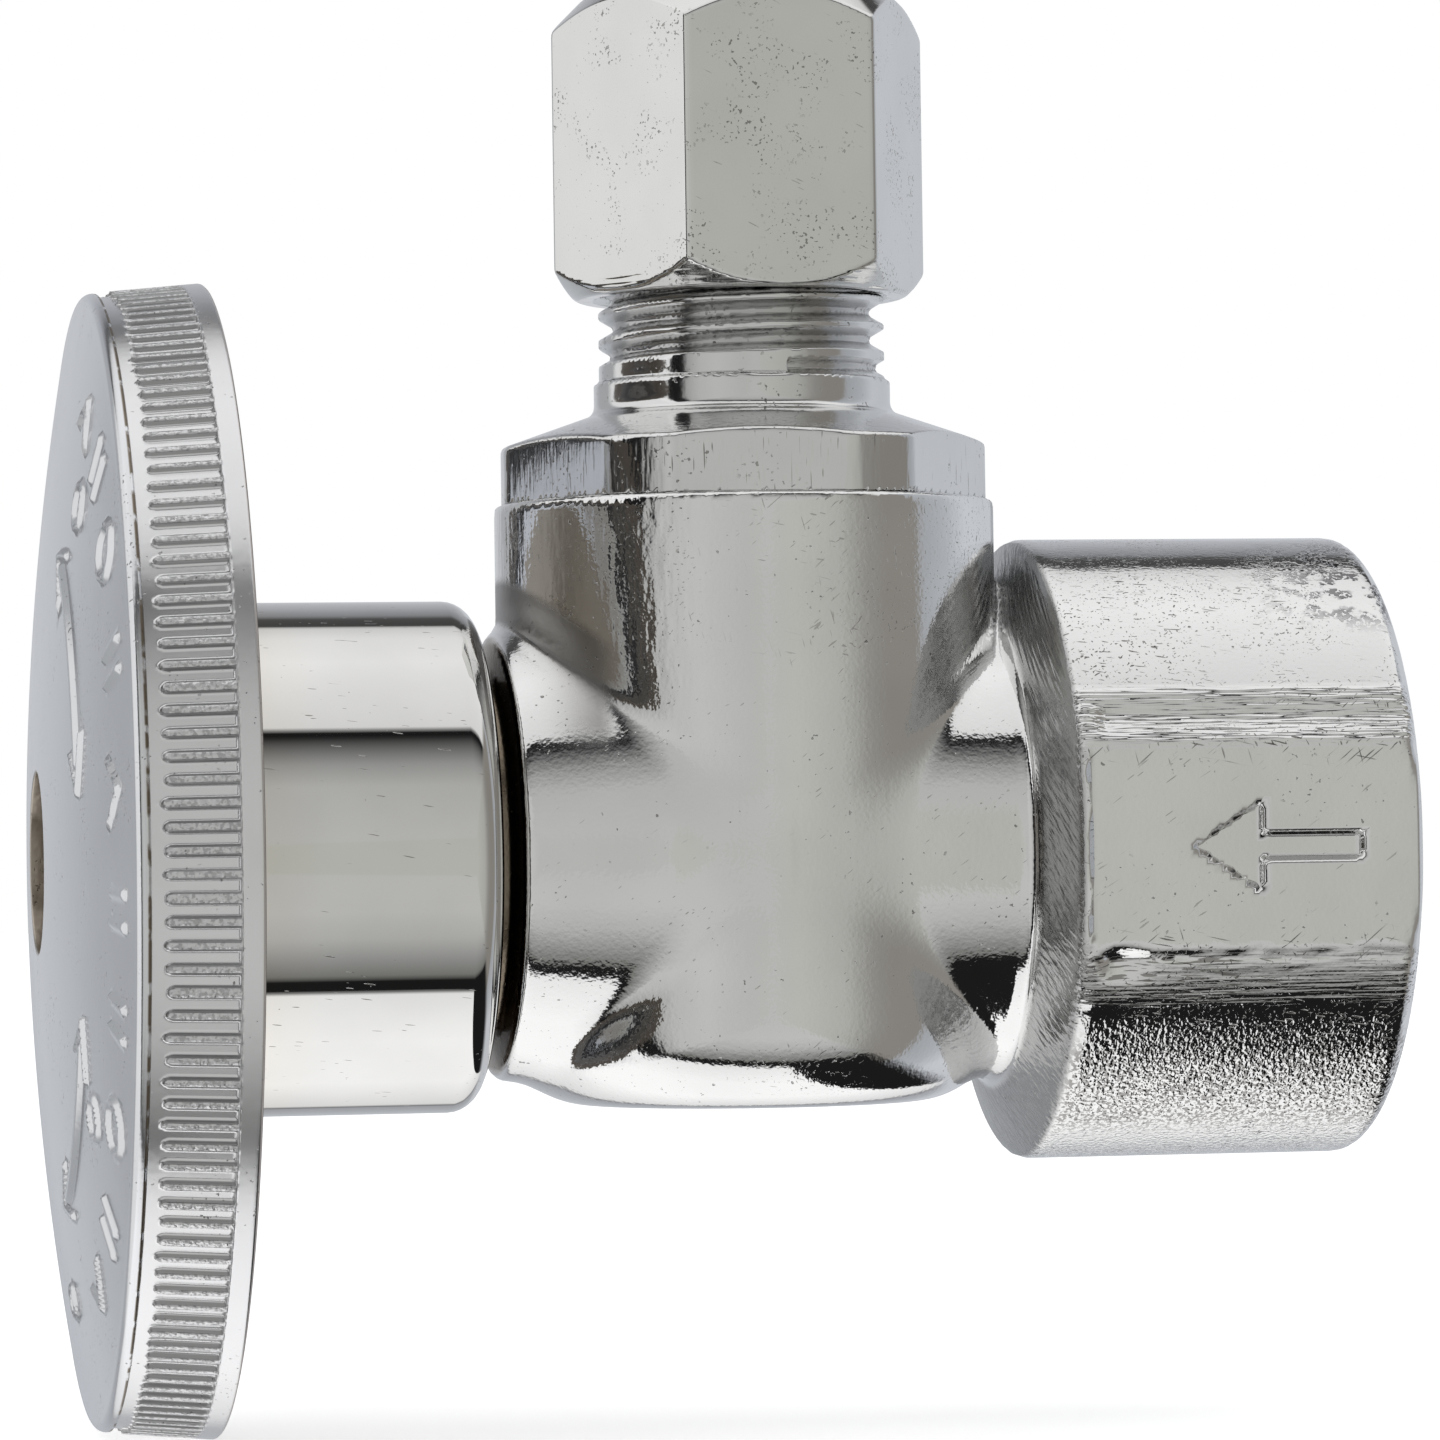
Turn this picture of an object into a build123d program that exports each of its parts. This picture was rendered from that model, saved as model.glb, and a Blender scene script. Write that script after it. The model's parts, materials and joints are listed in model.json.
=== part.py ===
from build123d import *
import math
import os

# Quarter-turn angle stop valve, in millimetres.
#
# Every piece is drawn about the centre of the ball, where the inlet axis (X) and the outlet axis (Z) cross,
# and is moved at the end so that the origin is the centre of the inlet's mouth.
# +X points out of the inlet, +Z out of the outlet, and the handle is on the -X side.

INCH = 25.4

# ---- body ----
INLET_REACH = 23.4            # ball centre to the inlet's mouth
CHAMBER_R = 9.53              # outside of the upright ball chamber
CHAMBER_BOTTOM = -9.5
CHAMBER_TOP = 13.34
CHAMBER_BOTTOM_FILLET = 3.2
STUB_R = 8.45                 # round stub that the handle's skirt faces
STUB_END = -9.95
NECK_R = 8.7                  # round neck between chamber and inlet socket
SOCKET_R = 11.92
SOCKET_SHOULDER = (9.2, 10.3)  # where the shoulder leaves the neck, and where it reaches the socket
SOCKET_SHOULDER_FILLET = 0.8
SOCKET_MOUTH_FILLET = 0.9
FLAT_HALF = 11.3              # wrench flats, half of the distance across
FLAT_START = 10.7
INLET_BORE_R = 9.6            # mean radius of a 1/2 inch taper pipe thread
INLET_BORE_DEPTH = 12.0
PASSAGE_R = 4.0
CAVITY_R = 6.5
CAVITY_TOP = 4.5
CAVITY_BOTTOM = -3.4
LOWER_POCKET_BOTTOM = -6.5
BOSS_R = 6.6                  # stem boss inside the handle's skirt
BOSS_END = -15.6
STEM_POCKET_R = 4.3
STEM_POCKET_END = -8.3
STEM_BORE_R = 3.1
BUSH_POCKET_R = 4.0
BUSH_POCKET_DEPTH = 1.4
ARROW_BAR = (16.2, 21.0)      # flow arrow on the front flat, along X
ARROW_BAR_HALF_WIDTH = 0.4
ARROW_HEAD = (14.7, 17.2)
ARROW_HEAD_HALF_WIDTH = 1.6
ARROW_DEPTH = 0.3

# ---- travel stops: angles about X, from +Z towards -Y ----
QUARTER_TURN = 90.0
RIB_CENTRE = 180.0
RIB_WIDTH = 30.0
STOP_WIDTH = 20.0
STOP_PLAY = 1.0
STOP_SPAN_X = (-14.2, -11.4)
STOP_LUG_TOP_R = 7.7
RIB_TIP_R = 6.95
ROOT_OVERLAP = 0.5            # how far lugs and ribs reach into the wall that carries them

# ---- ball and seats ----
BALL_R = 6.0
PORT_R = 2.6
SEAT_R = 5.6
SEAT_HOLE_R = 3.2
SEAT_NEAR = 3.6               # face nearest the ball's centre
SEAT_FAR = 6.05
SEAT_CLEARANCE = 0.05
SLOT_WIDTH = 2.1
SLOT_DEPTH = 1.9
BACKING_RING_SECTION_R = 0.4
SEAL_GAP = 0.02               # between a seal and the wall or groove floor that it faces

# ---- outlet adapter ----
ADAPTER_THREAD_R = 7.85
ADAPTER_BORE_R = 7.9
ADAPTER_BOTTOM = 4.7
SEAT_POCKET_R = 5.65
SEAT_POCKET_TOP = 7.0
COLLAR_FLATS = 17.2
COLLAR_CORNER_R = 9.25
COLLAR_TURN = -5.5            # degrees about Z
COLLAR_TOP = 15.5
CONE_TOP = 16.8
OUTLET_NECK_R = 5.7
OUTLET_NECK_TOP = 17.7
OUTLET_THREAD_R = 5.456       # 7/16-24 thread, just under half of its size
OUTLET_THREAD_LEAD = 0.5
OUTLET_THREAD_STEP = 0.3      # height of the slope between neck and thread
ADAPTER_TOP = 24.4
TUBE_BORE_R = 3.25            # takes a 1/4 inch outside diameter tube
TUBE_SOCKET_BOTTOM = 19.4
CONE_SEAT_DEPTH = 1.5
CONE_SEAT_R = 4.35
ADAPTER_GROOVE = (11.7, 13.0)
ADAPTER_GROOVE_R = 6.6

# ---- compression nut and sleeve ----
NUT_FLATS = 0.5 * INCH
NUT_TURN = 4.0
NUT_BOTTOM = 20.74
NUT_TOP = 32.63
NUT_BORE_R = 5.56
NUT_SHOULDER = (27.6, 30.0)
NUT_HOLE_R = 3.3
NUT_FACE_R = 5.9              # radius of the chamfered end faces
NUT_CHAMFER_HEIGHT = 1.45
SLEEVE_BOTTOM = 24.72
SLEEVE_TOP = 29.62
SLEEVE_R = 4.2
SLEEVE_END_R = 3.55
SLEEVE_TAPER = 1.3

# ---- stem ----
STEM_R = 3.05
FLANGE_R = 4.15
FLANGE_SPAN = (-7.6, -6.3)
TANG_END = -4.2
TANG_THICKNESS = 2.0
TANG_WIDTH = 5.0
STEM_SHOULDER = -15.9
STEM_END = -21.4
SQUARE = 4.4
STEM_TAP_R = 1.65
STEM_TAP_END = -13.8
STEM_GROOVES = (-10.9, -13.0)
STEM_GROOVE_R = 2.25
STEM_GROOVE_WIDTH = 1.1
STEM_O_RING_SECTION_R = 0.4
BUSH_GAP = 0.05               # at both ends of the guide bush
BUSH_SIDE_GAP = 0.03
WASHER_GAP = 0.03             # between the thrust washer and the stem's flange

# ---- handle ----
RIM_R = 21.66
RIM_FRONT_R = 21.26
RIM_FRONT = -25.23
RIM_BACK = -20.88
RIM_INNER_R = 19.5
RIM_EDGE_FILLET = 0.35
DOME_FRONT = -27.2
WEB_BACK = -22.9
SKIRT_R = 9.67
SKIRT_END = -10.7
SKIRT_INNER_R = 8.2
SKIRT_FILLET = 1.1
HUB_R = 5.0
HUB_END = -16.2
HUB_FLOOR = -20.6
RIM_INNER_DRAFT = 0.6         # how much narrower the hollow behind the rim is at the web
SQUARE_GAP = 0.05
RECESS_R = 3.4
RECESS_FLOOR = -22.6
SCREW_HOLE_R = 1.95
SQUARE_HOLE_END = -21.8
SCREW_R = 1.6
SCREW_HEAD_R = 2.95
SCREW_HEAD_HEIGHT = 1.8
SCREW_HEAD_FILLET = 0.7
SCREW_LENGTH = 8.6
WASHER_R = 3.05
WASHER_THICKNESS = 0.6
DRIVE_WIDTH = 0.75
DRIVE_LENGTH = 3.4
DRIVE_DEPTH = 1.0


def turned_about_x(*points):
    """A solid of revolution about X from (x, radius) points."""
    return revolve(make_face(Polyline(*points, close=True)), Axis.X)


def turned_about_z(*points):
    """A solid of revolution about Z from (radius, z) points."""
    return revolve(Plane.XZ * make_face(Polyline(*points, close=True)), Axis.Z)


def rod_x(radius, start, end):
    """A cylinder along X from start to end."""
    return Plane(origin=(start, 0, 0), z_dir=(1, 0, 0)) * extrude(Circle(radius), end - start)


def rod_z(radius, start, end):
    """A cylinder along Z from start to end."""
    return Plane(origin=(0, 0, start)) * extrude(Circle(radius), end - start)


def prism(outline, plane, height):
    """A closed outline on a plane, drawn out along the plane's normal."""
    return plane * extrude(make_face(outline), height)


def ring_edges(solid, radius):
    """The round edges of that radius, from low X to high X."""
    length = 2 * math.pi * radius
    return solid.edges().filter_by(lambda e: abs(e.length - length) < 0.05).sort_by(Axis.X)


def block(x_span, y_span, z_span):
    """A box given by its spans."""
    spans = (x_span, y_span, z_span)
    sizes = [high - low for low, high in spans]
    centre = [(low + high) / 2 for low, high in spans]
    return Location(centre) * Box(*sizes)


def ring_about(axis, centre, radius, section_radius):
    """A torus about the X or the Z axis, centred at that distance along it."""
    torus = Torus(radius, section_radius)
    if axis == "X":
        return Location((centre, 0, 0)) * Rotation(0, 90, 0) * torus
    return Location((0, 0, centre)) * torus


def sector_about_x(angle, width, inner_radius, outer_radius, x_span):
    """A ring sector about X, whose middle is at angle from +Z towards -Y."""
    start, end = x_span
    ring = rod_x(outer_radius, start, end) - rod_x(inner_radius, start, end)
    reach = 2 * outer_radius
    side = reach * math.tan(math.radians(width / 2))
    outline = Polyline((0, 0), (-side, reach), (side, reach), close=True)
    wedge = prism(outline, Plane(origin=(start, 0, 0), x_dir=(0, 1, 0), z_dir=(1, 0, 0)), end - start)
    return ring & (Rotation(angle, 0, 0) * wedge)


def hexagon(flats, turn, bottom, top):
    """A hexagonal prism about Z, given across its flats."""
    outline = RegularPolygon(flats / 2, 6, major_radius=False, rotation=turn)
    return Plane(origin=(0, 0, bottom)) * extrude(outline, top - bottom)


def flow_arrow():
    """The mark cut into the front wrench flat: a bar with an arrow head, pointing into the valve."""
    floor = -FLAT_HALF + ARROW_DEPTH
    bar = block(ARROW_BAR, (-FLAT_HALF, floor), (-ARROW_BAR_HALF_WIDTH, ARROW_BAR_HALF_WIDTH))
    tip, base = ARROW_HEAD
    outline = Polyline((tip, 0), (base, ARROW_HEAD_HALF_WIDTH), (base, -ARROW_HEAD_HALF_WIDTH), close=True)
    plane = Plane(origin=(0, floor, 0), x_dir=(1, 0, 0), z_dir=(0, -1, 0))
    return bar + prism(outline, plane, ARROW_DEPTH)


def valve_body():
    chamber = rod_z(CHAMBER_R, CHAMBER_BOTTOM, CHAMBER_TOP)
    chamber = fillet(chamber.edges().group_by(Axis.Z)[0], CHAMBER_BOTTOM_FILLET)
    shoulder_start, shoulder_end = SOCKET_SHOULDER
    socket = turned_about_x(
        (0, 0),
        (0, NECK_R),
        (shoulder_start, NECK_R),
        (shoulder_end, SOCKET_R),
        (INLET_REACH, SOCKET_R),
        (INLET_REACH, 0),
    )
    socket = fillet(ring_edges(socket, SOCKET_R)[-1], SOCKET_MOUTH_FILLET)
    socket = fillet(ring_edges(socket, SOCKET_R)[0], SOCKET_SHOULDER_FILLET)
    stub = rod_x(STUB_R, STUB_END, 0)
    body = chamber + socket + stub + rod_x(BOSS_R, BOSS_END, 0)

    first_stop = RIB_CENTRE - RIB_WIDTH / 2 - STOP_PLAY - STOP_WIDTH / 2
    last_stop = RIB_CENTRE + QUARTER_TURN + RIB_WIDTH / 2 + STOP_PLAY + STOP_WIDTH / 2
    for angle in (first_stop, last_stop):
        body += sector_about_x(angle, STOP_WIDTH, BOSS_R - ROOT_OVERLAP, STOP_LUG_TOP_R, STOP_SPAN_X)

    for side in (-1, 1):
        span = sorted((side * FLAT_HALF, side * (SOCKET_R + 1)))
        body -= block((FLAT_START, INLET_REACH + 1), span, (-SOCKET_R, SOCKET_R))
    body -= flow_arrow()

    body -= rod_z(ADAPTER_BORE_R, CAVITY_TOP, CHAMBER_TOP)
    body -= rod_z(CAVITY_R, CAVITY_BOTTOM, CAVITY_TOP)
    body -= rod_z(SEAT_POCKET_R, LOWER_POCKET_BOTTOM, CAVITY_BOTTOM)
    body -= rod_x(PASSAGE_R, 0, INLET_REACH)
    body -= rod_x(INLET_BORE_R, INLET_REACH - INLET_BORE_DEPTH, INLET_REACH)
    body -= rod_x(STEM_POCKET_R, STEM_POCKET_END, 0)
    body -= rod_x(STEM_BORE_R, BOSS_END, 0)
    body -= rod_x(BUSH_POCKET_R, BOSS_END, BOSS_END + BUSH_POCKET_DEPTH)
    return body


def outlet_adapter():
    shank = rod_z(ADAPTER_THREAD_R, ADAPTER_BOTTOM, CHAMBER_TOP)
    collar = hexagon(COLLAR_FLATS, COLLAR_TURN, CHAMBER_TOP, CONE_TOP) & turned_about_z(
        (0, CHAMBER_TOP),
        (COLLAR_CORNER_R, CHAMBER_TOP),
        (COLLAR_CORNER_R, COLLAR_TOP),
        (OUTLET_NECK_R, CONE_TOP),
        (0, CONE_TOP),
    )
    outlet = turned_about_z(
        (0, CONE_TOP - 1),
        (OUTLET_NECK_R, CONE_TOP - 1),
        (OUTLET_NECK_R, OUTLET_NECK_TOP),
        (OUTLET_THREAD_R, OUTLET_NECK_TOP + OUTLET_THREAD_STEP),
        (OUTLET_THREAD_R, ADAPTER_TOP - OUTLET_THREAD_LEAD),
        (OUTLET_THREAD_R - OUTLET_THREAD_LEAD, ADAPTER_TOP),
        (0, ADAPTER_TOP),
    )
    adapter = shank + collar + outlet
    bottom, top = ADAPTER_GROOVE
    adapter -= rod_z(ADAPTER_THREAD_R + 1, bottom, top) - rod_z(ADAPTER_GROOVE_R, bottom, top)
    adapter -= rod_z(PORT_R, ADAPTER_BOTTOM, ADAPTER_TOP)
    adapter -= rod_z(SEAT_POCKET_R, ADAPTER_BOTTOM, SEAT_POCKET_TOP)
    adapter -= rod_z(TUBE_BORE_R, TUBE_SOCKET_BOTTOM, ADAPTER_TOP)
    adapter -= turned_about_z(
        (0, ADAPTER_TOP - CONE_SEAT_DEPTH),
        (TUBE_BORE_R, ADAPTER_TOP - CONE_SEAT_DEPTH),
        (CONE_SEAT_R, ADAPTER_TOP),
        (0, ADAPTER_TOP),
    )
    return adapter


def adapter_o_ring():
    inner_r = ADAPTER_GROOVE_R + SEAL_GAP
    outer_r = ADAPTER_THREAD_R - SEAL_GAP
    return ring_about("Z", sum(ADAPTER_GROOVE) / 2, (outer_r + inner_r) / 2, (outer_r - inner_r) / 2)


def seat_ring(side):
    """A seat above (side 1) or below (side -1) the ball, with a face that follows the ball."""
    low, high = sorted((side * SEAT_NEAR, side * SEAT_FAR))
    ring = rod_z(SEAT_R, low, high) - rod_z(SEAT_HOLE_R, low, high)
    return ring - Sphere(BALL_R + SEAT_CLEARANCE)


def outlet_seat():
    return seat_ring(1)


def lower_seat():
    return seat_ring(-1)


def outlet_seat_backing_ring():
    centre = SEAT_FAR + SEAL_GAP + BACKING_RING_SECTION_R
    return ring_about("Z", centre, (SEAT_R + SEAT_HOLE_R) / 2, BACKING_RING_SECTION_R)


def valve_ball():
    ball = Sphere(BALL_R) - rod_x(PORT_R, 0, BALL_R) - rod_z(PORT_R, 0, BALL_R) - Sphere(PORT_R)
    slot = block((-BALL_R, -BALL_R + SLOT_DEPTH), (-SLOT_WIDTH / 2, SLOT_WIDTH / 2), (-BALL_R, BALL_R))
    return ball - slot


def stem():
    flange_start, flange_end = FLANGE_SPAN
    spindle = rod_x(FLANGE_R, flange_start, flange_end) + rod_x(STEM_R, STEM_SHOULDER, flange_start)
    tang_thickness = (-TANG_THICKNESS / 2, TANG_THICKNESS / 2)
    tang_width = (-TANG_WIDTH / 2, TANG_WIDTH / 2)
    spindle += block((flange_end, TANG_END), tang_thickness, tang_width)
    square = (-SQUARE / 2, SQUARE / 2)
    spindle += block((STEM_END, STEM_SHOULDER), square, square) & rod_x(STEM_R, STEM_END, STEM_SHOULDER)
    for centre in STEM_GROOVES:
        start = centre - STEM_GROOVE_WIDTH / 2
        end = centre + STEM_GROOVE_WIDTH / 2
        spindle -= rod_x(STEM_R + 1, start, end) - rod_x(STEM_GROOVE_R, start, end)
    return spindle - rod_x(STEM_TAP_R, STEM_END, STEM_TAP_END)


def stem_o_ring(centre):
    radius = STEM_GROOVE_R + SEAL_GAP + STEM_O_RING_SECTION_R
    return ring_about("X", centre, radius, STEM_O_RING_SECTION_R)


def stem_thrust_washer():
    start = STEM_POCKET_END + SEAL_GAP
    end = FLANGE_SPAN[0] - WASHER_GAP
    return rod_x(FLANGE_R, start, end) - rod_x(STEM_BORE_R, start, end)


def stem_guide_bush():
    start = BOSS_END + BUSH_GAP
    end = BOSS_END + BUSH_POCKET_DEPTH - BUSH_GAP
    return rod_x(BUSH_POCKET_R - BUSH_SIDE_GAP, start, end) - rod_x(STEM_BORE_R, start, end)


def dome_radius():
    """Radius of the sphere through the dome's middle and the rim's front edge."""
    sag = RIM_FRONT - DOME_FRONT
    return (RIM_FRONT_R**2 + sag**2) / (2 * sag)


def handle():
    blank = turned_about_x(
        (DOME_FRONT, 0),
        (DOME_FRONT, RIM_FRONT_R),
        (RIM_FRONT, RIM_FRONT_R),
        (RIM_BACK, RIM_R),
        (RIM_BACK, RIM_INNER_R),
        (WEB_BACK, RIM_INNER_R - RIM_INNER_DRAFT),
        (WEB_BACK, SKIRT_R),
        (SKIRT_END, SKIRT_R),
        (SKIRT_END, SKIRT_INNER_R),
        (HUB_FLOOR, SKIRT_INNER_R),
        (HUB_FLOOR, HUB_R),
        (HUB_END, HUB_R),
        (HUB_END, 0),
    )
    wheel = blank & (Location((DOME_FRONT + dome_radius(), 0, 0)) * Sphere(dome_radius()))
    wheel = fillet(ring_edges(wheel, SKIRT_R)[-1], SKIRT_FILLET)
    wheel = fillet(ring_edges(wheel, RIM_FRONT_R)[0], RIM_EDGE_FILLET)
    rib_root_r = SKIRT_INNER_R + ROOT_OVERLAP
    wheel += sector_about_x(RIB_CENTRE, RIB_WIDTH, RIB_TIP_R, rib_root_r, (HUB_FLOOR, STOP_SPAN_X[1]))
    half = SQUARE / 2 + SQUARE_GAP
    wheel -= block((SQUARE_HOLE_END, HUB_END), (-half, half), (-half, half))
    wheel -= rod_x(SCREW_HOLE_R, RECESS_FLOOR, SQUARE_HOLE_END)
    return wheel - rod_x(RECESS_R, DOME_FRONT, RECESS_FLOOR)


def handle_lock_washer():
    start = RECESS_FLOOR - WASHER_THICKNESS
    return rod_x(WASHER_R, start, RECESS_FLOOR) - rod_x(SCREW_HOLE_R, start, RECESS_FLOOR)


def handle_screw():
    seat = RECESS_FLOOR - WASHER_THICKNESS
    head_top = seat - SCREW_HEAD_HEIGHT
    head = rod_x(SCREW_HEAD_R, head_top, seat)
    head = fillet(head.edges().sort_by(Axis.X)[0], SCREW_HEAD_FILLET)
    screw = head + rod_x(SCREW_R, seat, seat + SCREW_LENGTH)
    slot_span = (-DRIVE_WIDTH / 2, DRIVE_WIDTH / 2)
    arm_span = (-DRIVE_LENGTH / 2, DRIVE_LENGTH / 2)
    depth_span = (head_top, head_top + DRIVE_DEPTH)
    return screw - block(depth_span, slot_span, arm_span) - block(depth_span, arm_span, slot_span)


def compression_nut():
    corner_r = NUT_FLATS / math.sqrt(3)
    blank = hexagon(NUT_FLATS, NUT_TURN, NUT_BOTTOM, NUT_TOP) & turned_about_z(
        (0, NUT_BOTTOM),
        (NUT_FACE_R, NUT_BOTTOM),
        (corner_r, NUT_BOTTOM + NUT_CHAMFER_HEIGHT),
        (corner_r, NUT_TOP - NUT_CHAMFER_HEIGHT),
        (NUT_FACE_R, NUT_TOP),
        (0, NUT_TOP),
    )
    shoulder_bottom, shoulder_top = NUT_SHOULDER
    return blank - turned_about_z(
        (0, NUT_BOTTOM),
        (NUT_BORE_R, NUT_BOTTOM),
        (NUT_BORE_R, shoulder_bottom),
        (NUT_HOLE_R, shoulder_top),
        (NUT_HOLE_R, NUT_TOP),
        (0, NUT_TOP),
    )


def compression_sleeve():
    return turned_about_z(
        (TUBE_BORE_R, SLEEVE_BOTTOM),
        (SLEEVE_END_R, SLEEVE_BOTTOM),
        (SLEEVE_R, SLEEVE_BOTTOM + SLEEVE_TAPER),
        (SLEEVE_R, SLEEVE_TOP - SLEEVE_TAPER),
        (SLEEVE_END_R, SLEEVE_TOP),
        (TUBE_BORE_R, SLEEVE_TOP),
    )


PIECES = {
    "valve_body": valve_body,
    "outlet_adapter": outlet_adapter,
    "adapter_o_ring": adapter_o_ring,
    "outlet_seat": outlet_seat,
    "outlet_seat_backing_ring": outlet_seat_backing_ring,
    "lower_seat": lower_seat,
    "valve_ball": valve_ball,
    "stem": stem,
    "stem_o_ring_inner": lambda: stem_o_ring(STEM_GROOVES[0]),
    "stem_o_ring_outer": lambda: stem_o_ring(STEM_GROOVES[1]),
    "stem_thrust_washer": stem_thrust_washer,
    "stem_guide_bush": stem_guide_bush,
    "handle": handle,
    "handle_lock_washer": handle_lock_washer,
    "handle_screw": handle_screw,
    "compression_nut": compression_nut,
    "compression_sleeve": compression_sleeve,
}

os.makedirs("parts", exist_ok=True)
for name, make in PIECES.items():
    export_step(Location((-INLET_REACH, 0, 0)) * make(), f"parts/{name}.step")
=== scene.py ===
import json
import math

import bpy
import numpy as np
from mathutils import Matrix, Vector


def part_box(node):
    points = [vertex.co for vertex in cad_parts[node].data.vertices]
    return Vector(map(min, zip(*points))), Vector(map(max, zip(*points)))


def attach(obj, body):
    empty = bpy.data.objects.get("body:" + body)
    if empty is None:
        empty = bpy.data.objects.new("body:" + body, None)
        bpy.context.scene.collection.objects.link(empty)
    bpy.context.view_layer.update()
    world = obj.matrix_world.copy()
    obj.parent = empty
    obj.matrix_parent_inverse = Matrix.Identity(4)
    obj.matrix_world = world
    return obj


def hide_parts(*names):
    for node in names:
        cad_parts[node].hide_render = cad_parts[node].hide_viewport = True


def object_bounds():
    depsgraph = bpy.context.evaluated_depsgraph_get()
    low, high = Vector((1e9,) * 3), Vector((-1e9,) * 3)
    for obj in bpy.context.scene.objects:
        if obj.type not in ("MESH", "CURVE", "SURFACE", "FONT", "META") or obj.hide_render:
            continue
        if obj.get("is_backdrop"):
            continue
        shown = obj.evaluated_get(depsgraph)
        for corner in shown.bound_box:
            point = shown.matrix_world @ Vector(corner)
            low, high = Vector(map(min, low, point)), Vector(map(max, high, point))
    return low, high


# Angle stop valve: chrome-plated forged body, outlet fitting with its hex nut, and a ribbed wheel handle.
#
# Lengths in this file are millimetres about the ball's centre, where the inlet axis (X) and the outlet axis
# (Z) cross. to_metres() puts them in the frame. Places come from the CAD nodes' boxes and from the joints.

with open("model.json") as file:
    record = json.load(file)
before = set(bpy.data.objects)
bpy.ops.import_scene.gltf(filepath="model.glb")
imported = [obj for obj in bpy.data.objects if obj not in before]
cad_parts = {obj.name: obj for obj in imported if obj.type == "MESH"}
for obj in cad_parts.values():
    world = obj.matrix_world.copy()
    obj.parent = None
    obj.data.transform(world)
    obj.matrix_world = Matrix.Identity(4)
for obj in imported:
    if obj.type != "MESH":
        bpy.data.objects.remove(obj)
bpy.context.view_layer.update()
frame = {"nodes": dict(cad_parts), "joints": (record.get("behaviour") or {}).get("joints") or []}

MM = 0.001
JOINTS = {joint["name"]: joint for joint in frame["joints"]}
BALL_X = JOINTS["handle_turn"]["pos_m"][0] / MM


def box_mm(node):
    """Lowest and highest corner of a CAD node, in millimetres about the ball's centre."""
    low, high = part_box(node)
    shift = np.array([BALL_X, 0, 0])
    return np.array(low) / MM - shift, np.array(high) / MM - shift


BODY_LOW, BODY_HIGH = box_mm("valve_body")
FITTING_LOW, FITTING_HIGH = box_mm("outlet_adapter")
NUT_LOW, NUT_HIGH = box_mm("compression_nut")
HANDLE_LOW, HANDLE_HIGH = box_mm("handle")

# ---------------- sizes: shared

SOFT_EDGE = 0.3
BORE_EDGE = 0.15
FINE_EDGE = 0.1

# On a sloping side a radial offset is longer than the distance, so it is scaled down by one of these.
SHALLOW_SCALE = 0.8
THREAD_SCALE = 0.75
LEAD_SCALE = 0.7

# ---------------- sizes: body

CHAMBER_R = 9.53
CHAMBER_BOTTOM = -9.5
CHAMBER_EDGE = 3.3
CHAMBER_TOP = BODY_HIGH[2]
STUB_R = 8.45
STUB_END = -9.95
STUB_FLARE = 0.16
STUB_FLARE_LENGTH = 5.3
NECK_R = 8.7
NECK_FLARE = 0.06
NECK_FLARE_LENGTH = 7.0
SOCKET_R = -BODY_LOW[2]
SOCKET_MOUTH = BODY_HIGH[0]
SHOULDER_FOOT = (9.2, NECK_R)
SHOULDER_TOP = (10.3, SOCKET_R)
FLAT_HALF = 11.3
FLAT_START = 10.7
CREASE = 0.5
BOSS_CREASE = 0.4
SHOULDER_FILLET = 0.45
STUB_EDGE = 0.35
MOUTH_EDGE = 0.9
CHANNEL_Z = 4.75
CHANNEL_WIDTH = 0.55
CHANNEL_DEPTH = 0.29
LOWER_CHANNEL_Z = -4.0
LOWER_CHANNEL_WIDTH = 0.2
LOWER_CHANNEL_DEPTH = 0.12
DENT_START = 0.9
DENT_Z = -4.3
DENT_LENGTH = 1.3
DENT_WIDTH = 0.5
DENT_DEPTH = 0.3
CHANNEL_RUN_IN = 0.8
ARROW_BAR = (16.2, 21.0)
ARROW_BAR_HALF = 0.4
ARROW_HEAD = (14.7, 17.2)
ARROW_HEAD_HALF = 1.6
ARROW_DEPTH = 0.3
ARROW_EDGE = 0.12
INLET_R = 9.6
INLET_DEPTH = 12.0
INLET_PITCH = 25.4 / 14
INLET_THREAD_DEPTH = 0.55
INLET_CHAMFER = 1.0
PASSAGE_R = 4.0
CAVITY_R = 6.5
CAVITY_TOP = 4.5
CAVITY_BOTTOM = -3.4
SEAT_POCKET_R = 5.65
SEAT_POCKET_BOTTOM = -6.5
FITTING_BORE_R = 7.9
BOSS_R = 6.6
BOSS_END = BODY_LOW[0]
BUSH_POCKET_R = 4.0
BUSH_POCKET_DEPTH = 1.4
STEM_POCKET_R = 4.3
STEM_POCKET_END = -8.3
STEM_BORE_R = 3.1

# ---------------- sizes: outlet fitting and nut

COLLAR_FLATS = 17.2
COLLAR_R = 9.25
COLLAR_TURN = math.radians(-5.5)
COLLAR_EDGE_Z = 15.5
CONE_TOP_Z = 16.75
FITTING_NECK_R = 5.66
FITTING_NECK_TOP = 17.95
SHANK_R = 7.85
SHANK_GROOVE = (11.7, 13.0)
SHANK_GROOVE_R = 6.6
THREAD_R = 5.456
THREAD_DEPTH = 0.56
THREAD_PITCH = 25.4 / 24
THREAD_ROOT_HALF = 0.12
THREAD_START_Z = 18.22
THREAD_START_ANGLE = math.radians(-82)
THREAD_START_DEPTH = 0.3
FLANK_SLOPE = math.tan(math.radians(30))
BORE_R = 2.6
TUBE_R = 3.25
TUBE_SOCKET_BOTTOM = 19.4
OUTLET_SEAT_POCKET_TOP = 7.0
COLLAR_EDGE = 0.12
CONE_EDGE = 0.18
NECK_FILLET = 0.35
THREAD_LEAD = 0.5
SLEEVE_SEAT_DEPTH = 1.5
SLEEVE_SEAT_SLOPE = 0.75

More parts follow.
